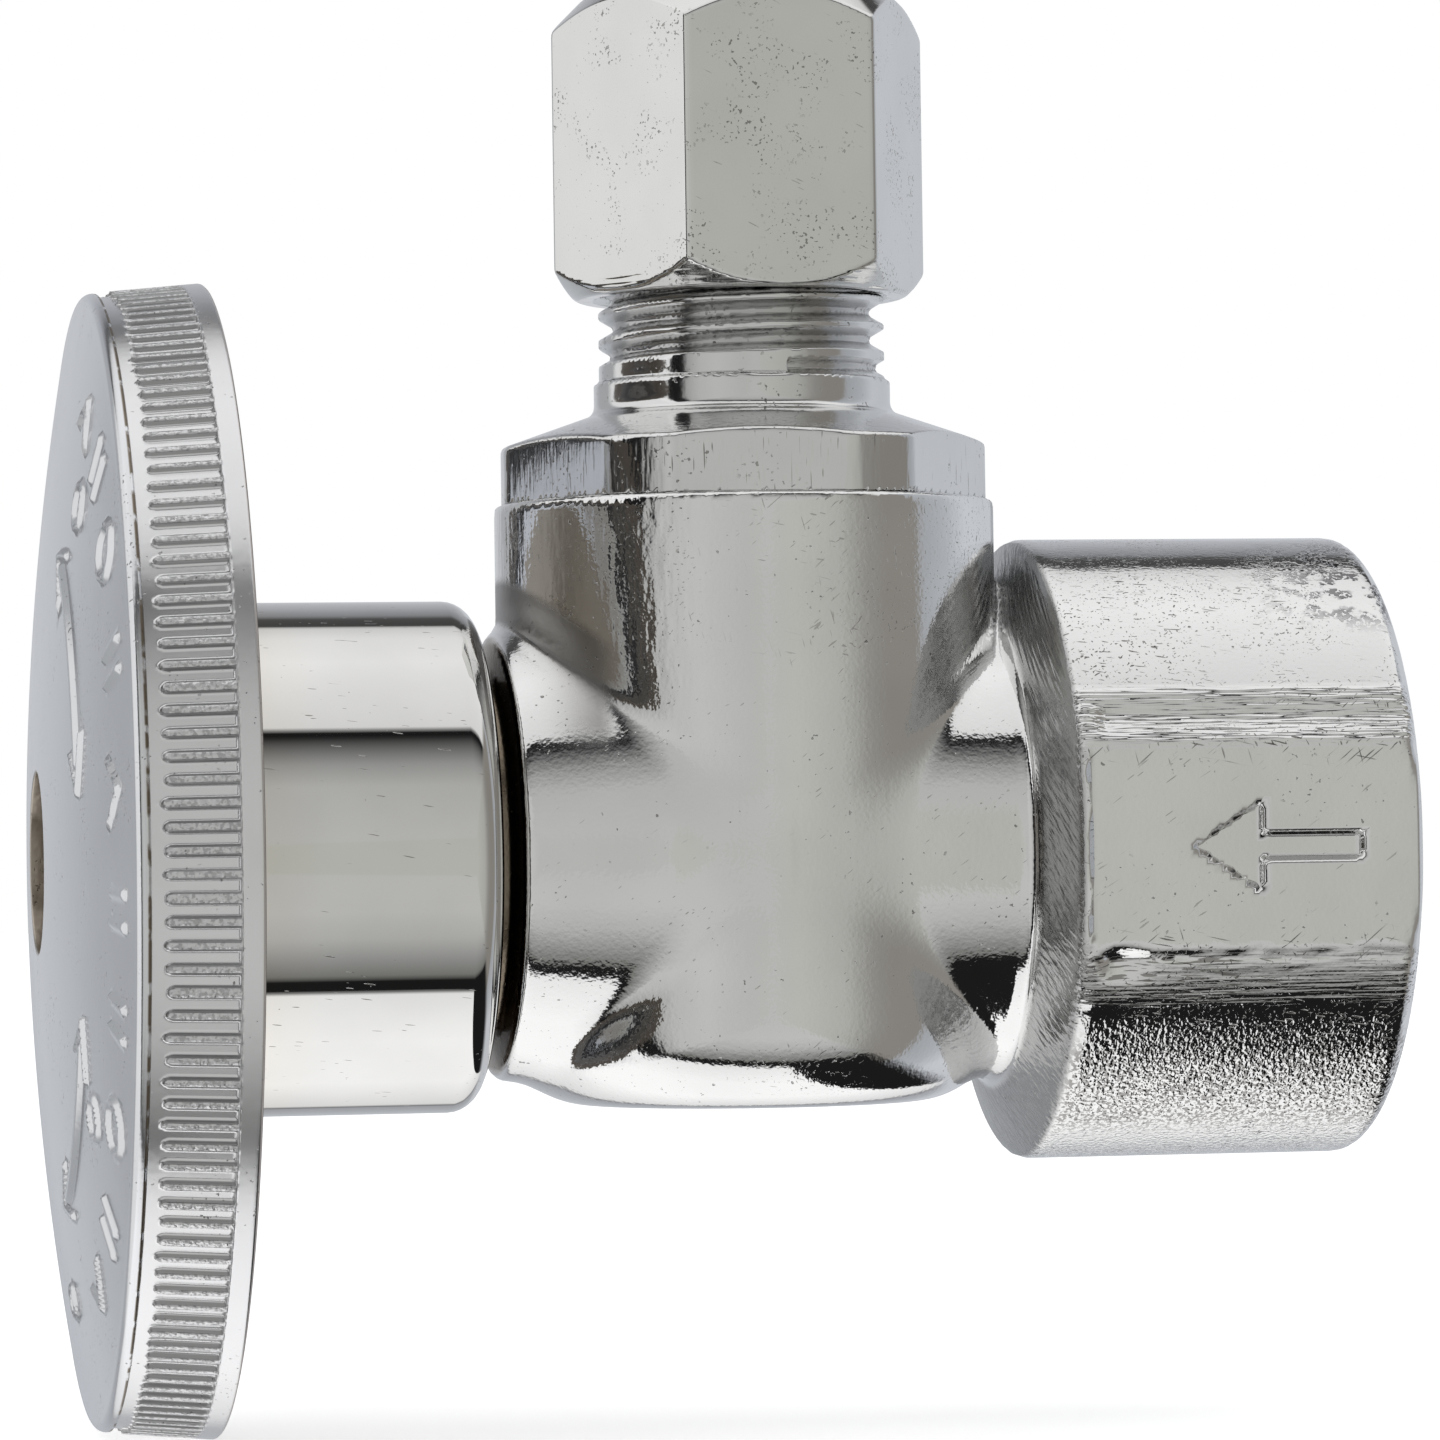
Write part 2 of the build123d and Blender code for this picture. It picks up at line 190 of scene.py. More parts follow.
NUT_FLATS = 12.7
NUT_TURN = math.radians(4.0)
NUT_FACE_R = 5.9
NUT_HOLE_R = 3.3
NUT_SHOULDER = (27.6, 30.0)
NUT_BORE_R = 5.56
NUT_EDGE = 0.16
NUT_FOOT_TRIM = 0.4
NUT_END_EDGE = 0.15
NUT_BORE_EDGE = 0.12
THREAD_CLEARANCE = 0.1

# ---------------- sizes: handle

RIM_R = HANDLE_HIGH[2]
RIM_FRONT_R = 21.26
RIM_FRONT_X = -25.23
RIM_BACK_X = -20.88
DOME_X = HANDLE_LOW[0]
WEB_BACK_X = -22.9
SKIRT_R = 9.67
SKIRT_END_X = HANDLE_HIGH[0]
SKIRT_INNER_R = 8.2
HUB_R = 5.0
HUB_END_X = -16.2
HUB_FLOOR_X = -20.6
RECESS_R = 3.4
RECESS_FLOOR_X = -22.6
RECESS_EDGE = 0.08
MARKS_INNER_R = 11.6
MARKS_OUTER_R = 19.8
MARK_HEIGHT = 0.17
SCREW_HOLE_R = 1.95
SQUARE_HALF = 2.25
SQUARE_END_X = -21.8
WEB_DULL_R = 14.6
WEB_DARK_R = 17.3
RIB_COUNT = 164
RIB_SAMPLES = 12
RIB_SHARE = 0.42
RIB_HEIGHT = 0.2
RIB_TIP_X = -24.32
GROOVE_END_X = -21.73
RIM_SLOPE = (RIM_R - RIM_FRONT_R) / (RIM_BACK_X - RIM_FRONT_X)
TICK_R = 18.6
TICK_ANGLES = (-58, -44, -30, -17, -5, 8, 22, 36, 49, 62, 150, 180, 210)
TURNING_ARROWS = ((0.18, 1.15, 12.4), (-1.3, -0.42, 13.2))
RINGS = ((-0.62, 15.6, 0.75), (0.95, 15.8, 0.8), (-1.45, 16.4, 0.6))
FACE_COLUMNS = 860
FACE_EDGE = 0.38
FACE_END_R = 20.85
WEB_INNER_R = 9.0
WEB_EDGE_R = 18.95
RIM_INNER_R = 20.0
RIM_BACK_EDGE = 0.14
RIB_TIP_LENGTH = 0.28
RIB_WALL = 0.1
SKIRT_COLUMNS = 288
SKIRT_EDGE = 1.1
SKIRT_INNER_EDGE = 0.3
SKIRT_FILLET = 0.35
HUB_EDGE = 0.2
STOP_RIB_HEIGHT = 1.25
STOP_RIB_HALF = math.radians(15)
STOP_RIB_END_X = -11.4

# ---------------- sizes: camera and studio

CAMERA_AZIMUTH = -10.414
CAMERA_ELEVATION = -1.087
CAMERA_ROLL = -0.813
CAMERA_DISTANCE = 245.7
CAMERA_TARGET = (-1.028, 0.0, 5.075)
CAMERA_LENS = 160.93
CAMERA_SENSOR = 36
FLOOR_HALF = 1.5
FLOOR_GLOW = 0.62
WEDGE_START_X = 0.14
WEDGE_SPREAD = 210 / 360

# ---------------- meshes

def to_metres(points):
    """Points about the ball's centre, in millimetres, to the frame."""
    return (np.asarray(points) + np.array([BALL_X, 0, 0])) * MM


def new_mesh(name, points, quads, normals=None):
    """A smooth-shaded mesh object from points in millimetres and quads."""
    mesh = bpy.data.meshes.new(name)
    mesh.vertices.add(len(points))
    mesh.vertices.foreach_set("co", to_metres(points).astype(np.float32).ravel())
    mesh.loops.add(4 * len(quads))
    mesh.loops.foreach_set("vertex_index", quads.astype(np.int32).ravel())
    mesh.polygons.add(len(quads))
    mesh.polygons.foreach_set("loop_start", np.arange(0, 4 * len(quads), 4, dtype=np.int32))
    mesh.polygons.foreach_set("use_smooth", np.ones(len(quads), dtype=bool))
    mesh.update(calc_edges=True)
    mesh.validate()
    if normals is not None:
        mesh.normals_split_custom_set_from_vertices(normals.astype(np.float32))
    piece = bpy.data.objects.new(name, mesh)
    bpy.context.scene.collection.objects.link(piece)
    return piece


def gradient(distance, points, step=0.02):
    """The slope of a distance function at points."""
    slopes = []
    for axis in range(3):
        offset = np.zeros(3)
        offset[axis] = step
        ahead = distance(*(points + offset).T)
        behind = distance(*(points - offset).T)
        slopes.append((ahead - behind) / (2 * step))
    return np.stack(slopes, axis=1)


def solid_from_distance(name, distance, low, high, cell):
    """A closed mesh of the surface where distance(x, y, z) is zero, one point to each cell it crosses."""
    margin = 2 * cell
    axes = [np.arange(low[i] - margin, high[i] + margin, cell) for i in range(3)]
    values = distance(*np.meshgrid(*axes, indexing="ij"))
    inside = values < 0
    cells = tuple(n - 1 for n in inside.shape)
    total = np.zeros(cells + (3,))
    count = np.zeros(cells, dtype=int)
    crossings = []
    for axis in range(3):
        first = np.moveaxis(values, axis, 0)[:-1]
        second = np.moveaxis(values, axis, 0)[1:]
        crossed = np.moveaxis((first < 0) != (second < 0), 0, axis)
        where = np.argwhere(crossed)
        first_value = values[tuple(where.T)]
        ahead = where.copy()
        ahead[:, axis] += 1
        second_value = values[tuple(ahead.T)]
        spot = where.astype(float)
        spot[:, axis] += first_value / (first_value - second_value)
        others = [i for i in range(3) if i != axis]
        around = []
        for back_a, back_b in ((1, 1), (0, 1), (0, 0), (1, 0)):
            cell_index = where.copy()
            cell_index[:, others[0]] -= back_a
            cell_index[:, others[1]] -= back_b
            np.add.at(total, tuple(cell_index.T), spot)
            np.add.at(count, tuple(cell_index.T), 1)
            around.append(cell_index)
        flip = (first_value < 0) == (axis == 1)
        crossings.append((around, flip))
    used = count > 0
    number = np.full(cells, -1)
    number[used] = np.arange(used.sum())
    origin = np.array([a[0] for a in axes])
    points = origin + cell * total[used] / count[used][:, None]
    quads = []
    for around, flip in crossings:
        corners = np.stack([number[tuple(c.T)] for c in around], axis=1)
        corners[flip] = corners[flip][:, ::-1]
        quads.append(corners)
    for _ in range(4):
        slope = gradient(distance, points)
        size = np.maximum((slope**2).sum(axis=1), 0.05)
        move = -(distance(*points.T) / size)[:, None] * slope
        points = points + np.clip(move, -cell / 2, cell / 2)
    slope = gradient(distance, points, cell / 3)
    normals = slope / np.linalg.norm(slope, axis=1)[:, None]
    return new_mesh(name, points, np.concatenate(quads), normals)


def ring_points(x, radius, angle):
    """Points about the X axis; angle runs from -Y towards +Z."""
    x, radius, angle = np.broadcast_arrays(x, radius, angle)
    return np.stack([x, -radius * np.cos(angle), radius * np.sin(angle)], axis=-1)


def solid_from_rows(name, rows, angle):
    """A closed ring about the X axis: (x, radius) rows go round its section, and each angle is a column."""
    points = np.stack([ring_points(x, radius, angle) for x, radius in rows])
    number = np.arange(len(rows) * len(angle)).reshape(len(rows), len(angle))
    below = np.roll(number, -1, axis=0)
    quads = np.stack([number, np.roll(number, -1, axis=1), np.roll(below, -1, axis=1), below], axis=-1)
    return new_mesh(name, points.reshape(-1, 3), quads.reshape(-1, 4))


# ---------------- distance functions

def hypotenuse(a, b):
    """The length of (a, b)."""
    return np.sqrt(a * a + b * b)


def joined(a, b, width):
    """The union of two shapes, with a fillet about as wide as width."""
    near = np.maximum(width - np.abs(a - b), 0) / width
    return np.minimum(a, b) - near * near * width / 4


def common(a, b, width):
    """What two shapes share, with a rounded edge."""
    return -joined(-a, -b, width)


def cut(a, b, width):
    """Shape a less shape b, with a rounded edge."""
    return common(a, -b, width)


def rod(radial, along, radius, start, end, edge):
    """A cylinder between start and end, whose two edges are rounded by edge."""
    out = radial - (radius - edge)
    over = np.abs(along - (start + end) / 2) - ((end - start) / 2 - edge)
    outside = hypotenuse(np.maximum(out, 0), np.maximum(over, 0))
    return outside + np.minimum(np.maximum(out, over), 0) - edge


def slope_side(along, radial, foot, top):
    """Signed distance to the cone through two (along, radial) points; positive on its open side."""
    run = top[0] - foot[0]
    rise = top[1] - foot[1]
    return ((radial - foot[1]) * run - (along - foot[0]) * rise) / math.hypot(run, rise)


def hexagon(x, y, flats, turn):
    """Distance to a hexagonal prism about Z, with a corner at the angle turn from +X."""
    angles = [turn + (i + 0.5) * math.pi / 3 for i in range(6)]
    faces = [x * math.cos(a) + y * math.sin(a) for a in angles]
    result = faces[0] - flats / 2
    for face in faces[1:]:
        result = common(result, face - flats / 2, NUT_EDGE)
    return result


def ripple(x, y, z, size):
    """A smooth, irregular value between about -1 and 1 that varies over size."""
    k = 2 * math.pi / size
    first = np.sin(k * (x + 0.37 * y) + 1.3) * np.sin(k * (0.81 * y - 0.43 * z) + 0.4)
    second = np.sin(k * (0.67 * z + 0.29 * x) * 1.63 + 2.1) * np.sin(k * (0.53 * x - 0.71 * y) * 1.37 + 0.9)
    return (first + second) / 2


def valve_body(x, y, z):
    """Distance to the forging: chamber, stub, neck, socket and stem boss, with their cavities."""
    about_x = hypotenuse(y, z)
    about_z = hypotenuse(x, y)
    chamber = rod(about_z, z, CHAMBER_R, CHAMBER_BOTTOM, CHAMBER_TOP + 2 * CHAMBER_EDGE, CHAMBER_EDGE)
    chamber = common(chamber, z - CHAMBER_TOP, SOFT_EDGE)
    stub_flare = STUB_FLARE * np.clip(x - STUB_END, 0, STUB_FLARE_LENGTH)
    stub = rod(about_x - stub_flare, x, STUB_R, STUB_END, 0, STUB_EDGE)
    neck_flare = NECK_FLARE * np.clip(SHOULDER_FOOT[0] - x, 0, NECK_FLARE_LENGTH)
    neck = rod(about_x - neck_flare, x, NECK_R, 0, SHOULDER_TOP[0] + 1, STUB_EDGE)
    body = joined(joined(chamber, stub, CREASE), neck, CREASE)
    socket = rod(about_x, x, SOCKET_R, 0, SOCKET_MOUTH, MOUTH_EDGE)
    socket = common(socket, slope_side(x, about_x, SHOULDER_FOOT, SHOULDER_TOP), SHOULDER_FILLET)
    socket = common(socket, wrench_flats(x, y, z), BORE_EDGE)
    arrow = np.maximum(flow_arrow(x, z), y + FLAT_HALF - ARROW_DEPTH)
    socket = cut(socket, arrow, ARROW_EDGE)
    body = joined(body, socket, CREASE)
    body = joined(body, rod(about_x, x, BOSS_R, BOSS_END, 0, SOFT_EDGE), BOSS_CREASE)
    return body_cavities(body, x, y, z, about_x, about_z)


def wrench_flats(x, y, z):
    """Positive where the two flats are cut away, with the bruised channel that runs along each long edge."""
    flat = np.minimum(np.abs(y) - FLAT_HALF, x - FLAT_START)
    along = x - FLAT_START
    wander = ripple(x, 0 * y, 0 * z, 5.0) * 0.1 + ripple(x, y, z, 1.7) * 0.05
    upper = CHANNEL_DEPTH * np.exp(-(((z - CHANNEL_Z + wander) / CHANNEL_WIDTH) ** 2))
    upper = upper * (1.1 - 0.03 * along)
    lower = LOWER_CHANNEL_DEPTH * np.exp(-(((z - LOWER_CHANNEL_Z - wander) / LOWER_CHANNEL_WIDTH) ** 2))
    lower = lower * (1 + 0.8 * ripple(x, y, z, 2.3))
    dent = np.exp(-(((z - DENT_Z) / DENT_WIDTH) ** 2) - ((along - DENT_START) / DENT_LENGTH) ** 2)
    reach = np.clip(along / CHANNEL_RUN_IN, 0, 1)
    surface = hypotenuse(y, z) - SOCKET_R + (upper + lower + DENT_DEPTH * dent) * reach
    return np.maximum(flat, surface)


def flow_arrow(x, z):
    """Distance to the outline of the arrow cut into the front flat, pointing into the valve."""
    start, end = ARROW_BAR
    bar = np.maximum(np.abs(x - (start + end) / 2) - (end - start) / 2, np.abs(z) - ARROW_BAR_HALF)
    tip, base = ARROW_HEAD
    length = base - tip
    side = (np.abs(z) * length - (x - tip) * ARROW_HEAD_HALF) / math.hypot(length, ARROW_HEAD_HALF)
    return np.minimum(bar, np.maximum(side, x - base))


def body_cavities(body, x, y, z, about_x, about_z):
    """The body less its threaded inlet, passage, ball room, seat pocket and stem bores."""
    turn = np.arctan2(z, y) / (2 * math.pi)
    crest = np.abs((x / INLET_PITCH + turn) % 1 - 0.5) * 2
    depth = np.clip((SOCKET_MOUTH - x) / INLET_PITCH, 0, 1)
    flare = np.maximum(x - SOCKET_MOUTH + INLET_CHAMFER, 0)
    inlet_r = INLET_R + INLET_THREAD_DEPTH * (1 - 2 * crest) * depth + flare
    floor = SOCKET_MOUTH - INLET_DEPTH - x
    body = cut(body, np.maximum(about_x - inlet_r, floor) * SHALLOW_SCALE, BORE_EDGE)
    holes = (
        (about_z, z, FITTING_BORE_R, CAVITY_TOP, CHAMBER_TOP + 3),
        (about_z, z, CAVITY_R, CAVITY_BOTTOM, CAVITY_TOP + 1),
        (about_z, z, SEAT_POCKET_R, SEAT_POCKET_BOTTOM, CAVITY_BOTTOM + 1),
        (about_x, x, PASSAGE_R, 0, SOCKET_MOUTH),
        (about_x, x, STEM_POCKET_R, STEM_POCKET_END, 0),
        (about_x, x, STEM_BORE_R, BOSS_END - 2, 0),
        (about_x, x, BUSH_POCKET_R, BOSS_END - 2, BOSS_END + BUSH_POCKET_DEPTH),
    )
    for radial, along, radius, start, end in holes:
        body = cut(body, rod(radial, along, radius, start, end, FINE_EDGE), BORE_EDGE)
    return body


def thread_radius(x, y, z):
    """Outside radius of the outlet's right-hand thread; its lowest groove starts shallow and gets deeper."""
    turned = ((np.arctan2(y, x) - THREAD_START_ANGLE) / (2 * math.pi)) % 1
    height = (z - THREAD_START_Z) / THREAD_PITCH - turned
    groove = np.maximum(np.round(height), 0)
    off_centre = np.abs(height - groove) * THREAD_PITCH
    turns = groove + turned
    full = np.minimum(THREAD_START_DEPTH + (THREAD_DEPTH - THREAD_START_DEPTH) * turns / 1.2, THREAD_DEPTH)
    depth = full - np.maximum(off_centre - THREAD_ROOT_HALF, 0) / FLANK_SLOPE
    return THREAD_R - np.maximum(depth, 0)


def outlet_fitting(x, y, z):
    """Distance to the fitting: shank, hexagonal collar with its cone, neck and threaded outlet."""
    about_z = hypotenuse(x, y)
    shank = rod(about_z, z, SHANK_R, FITTING_LOW[2], CHAMBER_TOP + 1, 0.2)
    groove = rod(about_z, z, SHANK_R + 3, *SHANK_GROOVE, FINE_EDGE)
    shank = cut(shank, np.maximum(groove, SHANK_GROOVE_R - about_z), FINE_EDGE)
    collar = common(hexagon(x, y, COLLAR_FLATS, COLLAR_TURN), about_z - COLLAR_R, COLLAR_EDGE)
    collar = np.maximum(collar, CHAMBER_TOP - z)
    cone = slope_side(z, about_z, (COLLAR_EDGE_Z, COLLAR_R), (CONE_TOP_Z, FITTING_NECK_R))
    collar = common(collar, cone, CONE_EDGE)
    neck = rod(about_z, z, FITTING_NECK_R, CHAMBER_TOP, FITTING_NECK_TOP, COLLAR_EDGE)
    threaded = (about_z - thread_radius(x, y, z)) * THREAD_SCALE
    lead = (about_z - THREAD_R + z - FITTING_HIGH[2] + THREAD_LEAD) * LEAD_SCALE
    threaded = np.maximum(threaded, lead)
    threaded = np.maximum(threaded, np.maximum(CHAMBER_TOP - z, z - FITTING_HIGH[2]))
    fitting = joined(joined(collar, neck, NECK_FILLET), threaded, 0.08)
    fitting = joined(fitting, shank, FINE_EDGE)
    below, above = FITTING_LOW[2] - 3, FITTING_HIGH[2] + 3
    holes = (
        (BORE_R, below, above),
        (SEAT_POCKET_R, below, OUTLET_SEAT_POCKET_TOP),
        (TUBE_R, TUBE_SOCKET_BOTTOM, above),
    )
    for radius, start, end in holes:
        fitting = cut(fitting, rod(about_z, z, radius, start, end, FINE_EDGE), FINE_EDGE)
    into_seat = z - FITTING_HIGH[2] + SLEEVE_SEAT_DEPTH
    seat = (about_z - TUBE_R - into_seat * SLEEVE_SEAT_SLOPE) * SHALLOW_SCALE
    return cut(fitting, np.maximum(seat, -into_seat), FINE_EDGE)


def compression_nut(x, y, z):
    """Distance to the hexagonal nut, with both ends chamfered and a thread that fits the outlet's."""
    about_z = hypotenuse(x, y)
    nut = hexagon(x, y, NUT_FLATS, NUT_TURN)
    for end, side, trim in ((NUT_LOW[2], 1, NUT_FOOT_TRIM), (NUT_HIGH[2], -1, 0)):
        inward = (z - end) * side
        nut = common(nut, (about_z - NUT_FACE_R - inward) * math.sqrt(0.5), FINE_EDGE)
        nut = common(nut, trim - inward, NUT_END_EDGE)
    bore_r = np.minimum(thread_radius(x, y, z) + THREAD_CLEARANCE, NUT_BORE_R)
    lead_in = NUT_BORE_R - np.maximum(z - NUT_LOW[2] - NUT_FOOT_TRIM - FINE_EDGE, 0)
    bore_r = np.maximum(bore_r, lead_in)
    low, high = NUT_SHOULDER
    bore = np.maximum((about_z - bore_r) * THREAD_SCALE, z - low)
    narrowing = (z - low) * (NUT_BORE_R - NUT_HOLE_R) / (high - low)
    shoulder = (about_z - NUT_BORE_R + narrowing) * SHALLOW_SCALE
    shoulder = np.maximum(shoulder, np.maximum(low - 0.2 - z, z - high))
    hole = about_z - NUT_HOLE_R
    return cut(nut, np.minimum(np.minimum(bore, shoulder), hole), NUT_BORE_EDGE)


# ---------------- handle

def dome_x(radius):
    """Height of the handle's domed face at a radius."""
    sag = RIM_FRONT_X - DOME_X
    sphere = (RIM_FRONT_R**2 + sag**2) / (2 * sag)
    return DOME_X + sphere - np.sqrt(sphere**2 - radius**2)


def soft_step(value, edge, width):
    """0 below edge and 1 above it, over width."""
    t = np.clip((value - edge) / width + 0.5, 0, 1)
    return t * t * (3 - 2 * t)


def soft_band(value, centre, half, width=0.14):
    """1 within half of the centre, and 0 outside it."""
    return 1 - soft_step(np.abs(value - centre), half, width)


def turned_from(angle, centre):
    """The angle from centre, between -pi and pi."""
    return (angle - centre + math.pi) % (2 * math.pi) - math.pi


def tick_mark(kind, radius, across):
    """A ring, a pair of bars or a chevron, for kinds 0, 1 and 2."""
    if kind == 0:
        return soft_band(hypotenuse(radius - TICK_R, across), 0.95, 0.17)
    if kind == 1:
        bars = [soft_band(across, shift, 0.17) * soft_band(radius, TICK_R, 1.0) for shift in (-0.55, 0.55)]
        return np.maximum(*bars)
    arms = soft_band(np.abs(across) * 1.2 + radius - 18.9, 0, 0.2)
    return arms * soft_band(radius, 18.5, 1.1)


def turning_arrow(radius, angle, start, end, turn_r):
    """A curved line at turn_r from start to end, with an arrow head at each end."""
    across = turned_from(angle, (start + end) / 2) * turn_r
    half = (end - start) / 2 * turn_r
    mark = soft_band(radius, turn_r, 0.2) * soft_band(across, 0, half - 1.2)
    for side in (-1, 1):
        tip = half - across * side
        head_edge = np.abs(radius - turn_r) - 0.55 * tip
        head = soft_band(head_edge, -0.16, 0.18) * soft_step(tip, 0.1, 0.1)
        mark = np.maximum(mark, head * (1 - soft_step(tip, 2.2, 0.2)))
    return mark


def face_marks(radius, angle):
    """Height of the face's raised marks, from 0 to 1: generic arrows, bars, chevrons and rings."""
    marks = np.zeros(np.broadcast(radius, angle).shape)
    for degrees in TICK_ANGLES:
        centre = math.radians(degrees)
        kind = degrees * 7 % 3
        marks = np.maximum(marks, tick_mark(kind, radius, turned_from(angle, centre) * TICK_R))
    for start, end, turn_r in TURNING_ARROWS:
        marks = np.maximum(marks, turning_arrow(radius, angle, start, end, turn_r))
    for ring_angle, ring_r, size in RINGS:
        ahead = radius * np.cos(angle - ring_angle) - ring_r
        aside = radius * np.sin(angle - ring_angle)
        marks = np.maximum(marks, soft_band(hypotenuse(ahead, aside), size, 0.14))
    return marks


def handle_face():
    """The domed face with its recess and raised marks, and the X at which its edge ends."""
    angle = np.linspace(0, 2 * math.pi, FACE_COLUMNS, endpoint=False)
    rows = [(WEB_BACK_X, SCREW_HOLE_R), (RECESS_FLOOR_X, SCREW_HOLE_R), (RECESS_FLOOR_X, RECESS_R - 0.1)]
    recess_x = float(dome_x(RECESS_R))
    for x in np.linspace(RECESS_FLOOR_X - 0.05, recess_x + RECESS_EDGE, 7):
        rows.append((x, RECESS_R))
    for tilt in np.radians([20, 40, 60, 78]):
        x = recess_x + RECESS_EDGE * (1 - math.sin(tilt))
        rows.append((x, RECESS_R + RECESS_EDGE * (1 - math.cos(tilt))))
    plain_part = np.arange(RECESS_R + 0.15, MARKS_INNER_R, 0.6)
    marked_part = np.arange(MARKS_INNER_R, MARKS_OUTER_R, 0.135)
    outer_part = np.arange(MARKS_OUTER_R, FACE_END_R, 0.25)
    for radius in np.concatenate([plain_part, marked_part, outer_part]):
        rows.append((dome_x(radius) - MARK_HEIGHT * face_marks(radius, angle), radius))
    edge_r = RIM_FRONT_R - FACE_EDGE
    edge_x = float(dome_x(edge_r))
    for tilt in np.radians([8, 22, 36, 50, 64, 78, 90]):
        rows.append((edge_x + FACE_EDGE * (1 - math.cos(tilt)), edge_r + FACE_EDGE * math.sin(tilt)))
    wall_x = edge_x + FACE_EDGE
    rows += [
        (wall_x + 0.08, RIM_FRONT_R - 0.01),
        (wall_x + 0.12, RIM_FRONT_R - 0.1),
        (wall_x + 0.12, RIM_INNER_R),
        (WEB_BACK_X, WEB_EDGE_R),
        (WEB_BACK_X, 14.0),
        (WEB_BACK_X, WEB_INNER_R),
    ]
    return solid_from_rows("handle_face", rows, angle), wall_x


def rim_outside(x):
    """Radius of the rim's outside at x."""
    return RIM_FRONT_R + RIM_SLOPE * (x - RIM_FRONT_X)


def rib_height(x, tip_x, half, from_middle):
    """How far the rim stands up at x in each column, from 0 in a groove to 1 on a rib or past them."""
    if x > GROOVE_END_X:
        return np.ones(len(tip_x))
    into = np.clip(x - tip_x, 0, RIB_TIP_LENGTH)
    reach = half * np.sqrt(np.clip(1 - (1 - into / RIB_TIP_LENGTH) ** 2, 0, 1))
    raised = 1 - soft_step(from_middle, reach, RIB_WALL)
    return raised * soft_step(x, tip_x, RIB_WALL)


def handle_rim(front_x):
    """The ribbed rim: a plain front band, ribs that run back into a plain band, and the lip behind it."""
    random = np.random.default_rng(7)
    count = RIB_COUNT * RIB_SAMPLES
    angle = np.arange(count) * 2 * math.pi / count
    rib = np.arange(count) // RIB_SAMPLES
    width = RIB_SHARE * (1 + 0.1 * random.standard_normal(RIB_COUNT))[rib]
    tip_x = RIB_TIP_X + (0.05 * random.standard_normal(RIB_COUNT))[rib]
    phase = (np.arange(count) % RIB_SAMPLES + 0.5) / RIB_SAMPLES - 0.5
    pitch = 2 * math.pi * RIM_R / RIB_COUNT
    floor_r = rim_outside(front_x) - RIB_HEIGHT
    rows = [(front_x + 0.02, RIM_INNER_R), (front_x + 0.02, floor_r - 0.08), (front_x + 0.06, floor_r)]
    tips = [-24.75, -24.5, -24.4, -24.34, -24.28, -24.22, -24.16, -24.08, -23.98]
    along = [-23.8, -23.4, -22.8, -22.3, -21.9]
    groove_end = [GROOVE_END_X - 0.03, GROOVE_END_X + 0.02, -21.6, -21.4, -21.15]
    for x in tips + along + groove_end:
        raised = rib_height(x, tip_x, width * pitch / 2, np.abs(phase) * pitch)
        rows.append((x, rim_outside(x) - RIB_HEIGHT * (1 - raised)))
    for tilt in np.radians([0, 30, 60, 90]):
        x = RIM_BACK_X - RIM_BACK_EDGE + RIM_BACK_EDGE * math.sin(tilt)
        rows.append((x, rim_outside(x) - RIM_BACK_EDGE + RIM_BACK_EDGE * math.cos(tilt)))
    rows += [
        (RIM_BACK_X, 20.6),
        (RIM_BACK_X, 19.95),
        (RIM_BACK_X - 0.12, 19.7),
        (RIM_BACK_X - 0.4, 19.5),
        (WEB_BACK_X + 0.4, 19.1),
        (WEB_BACK_X + 0.08, 18.9),
        (WEB_BACK_X - 0.02, 18.4),
        (WEB_BACK_X - 0.3, 18.4),
    ]
    return solid_from_rows("handle_rim", rows, angle)


def handle_skirt():
    """The tube and the hub behind the wheel, with the square drive and the stop rib inside."""
    angle = np.linspace(0, 2 * math.pi, SKIRT_COLUMNS, endpoint=False)
    square = SQUARE_HALF / np.maximum(np.abs(np.cos(angle)), np.abs(np.sin(angle)))
    square = np.minimum(square, SQUARE_HALF * 1.35)
    stop = soft_band(turned_from(angle, 0), -math.pi / 2, STOP_RIB_HALF, 0.05)
    rows = [(WEB_BACK_X - 0.25, SKIRT_R + 0.5)]
    for tilt in np.radians([0, 30, 60, 90]):
        x = WEB_BACK_X + SKIRT_FILLET * math.sin(tilt) ** 2
        rows.append((x, SKIRT_R + SKIRT_FILLET * (1 - math.sin(tilt))))
    for x in np.linspace(-22.4, SKIRT_END_X - 1.15, 24):
        rows.append((x, SKIRT_R))
    for tilt in np.radians([0, 12, 24, 36, 48, 60, 72, 84, 90]):
        x = SKIRT_END_X - SKIRT_EDGE + SKIRT_EDGE * math.sin(tilt)
        rows.append((x, SKIRT_R - SKIRT_EDGE + SKIRT_EDGE * math.cos(tilt)))
    for tilt in np.radians([0, 30, 60, 90]):
        x = SKIRT_END_X - SKIRT_INNER_EDGE + SKIRT_INNER_EDGE * math.cos(tilt)
        rows.append((x, SKIRT_INNER_R + SKIRT_INNER_EDGE * (1 - math.sin(tilt))))
    rib_r = SKIRT_INNER_R - STOP_RIB_HEIGHT * stop
    rows += [
        (STOP_RIB_END_X + 0.04, SKIRT_INNER_R),
        (STOP_RIB_END_X - 0.04, rib_r),
        (HUB_FLOOR_X, rib_r),
        (HUB_FLOOR_X, HUB_R),
        (HUB_END_X - HUB_EDGE, HUB_R),
        (HUB_END_X, HUB_R - HUB_EDGE),
        (HUB_END_X, square),
        (SQUARE_END_X, square),
        (SQUARE_END_X, SCREW_HOLE_R),
        (WEB_BACK_X - 0.25, SCREW_HOLE_R),
    ]
    return solid_from_rows("handle_skirt", rows, angle)


# ---------------- shader nodes

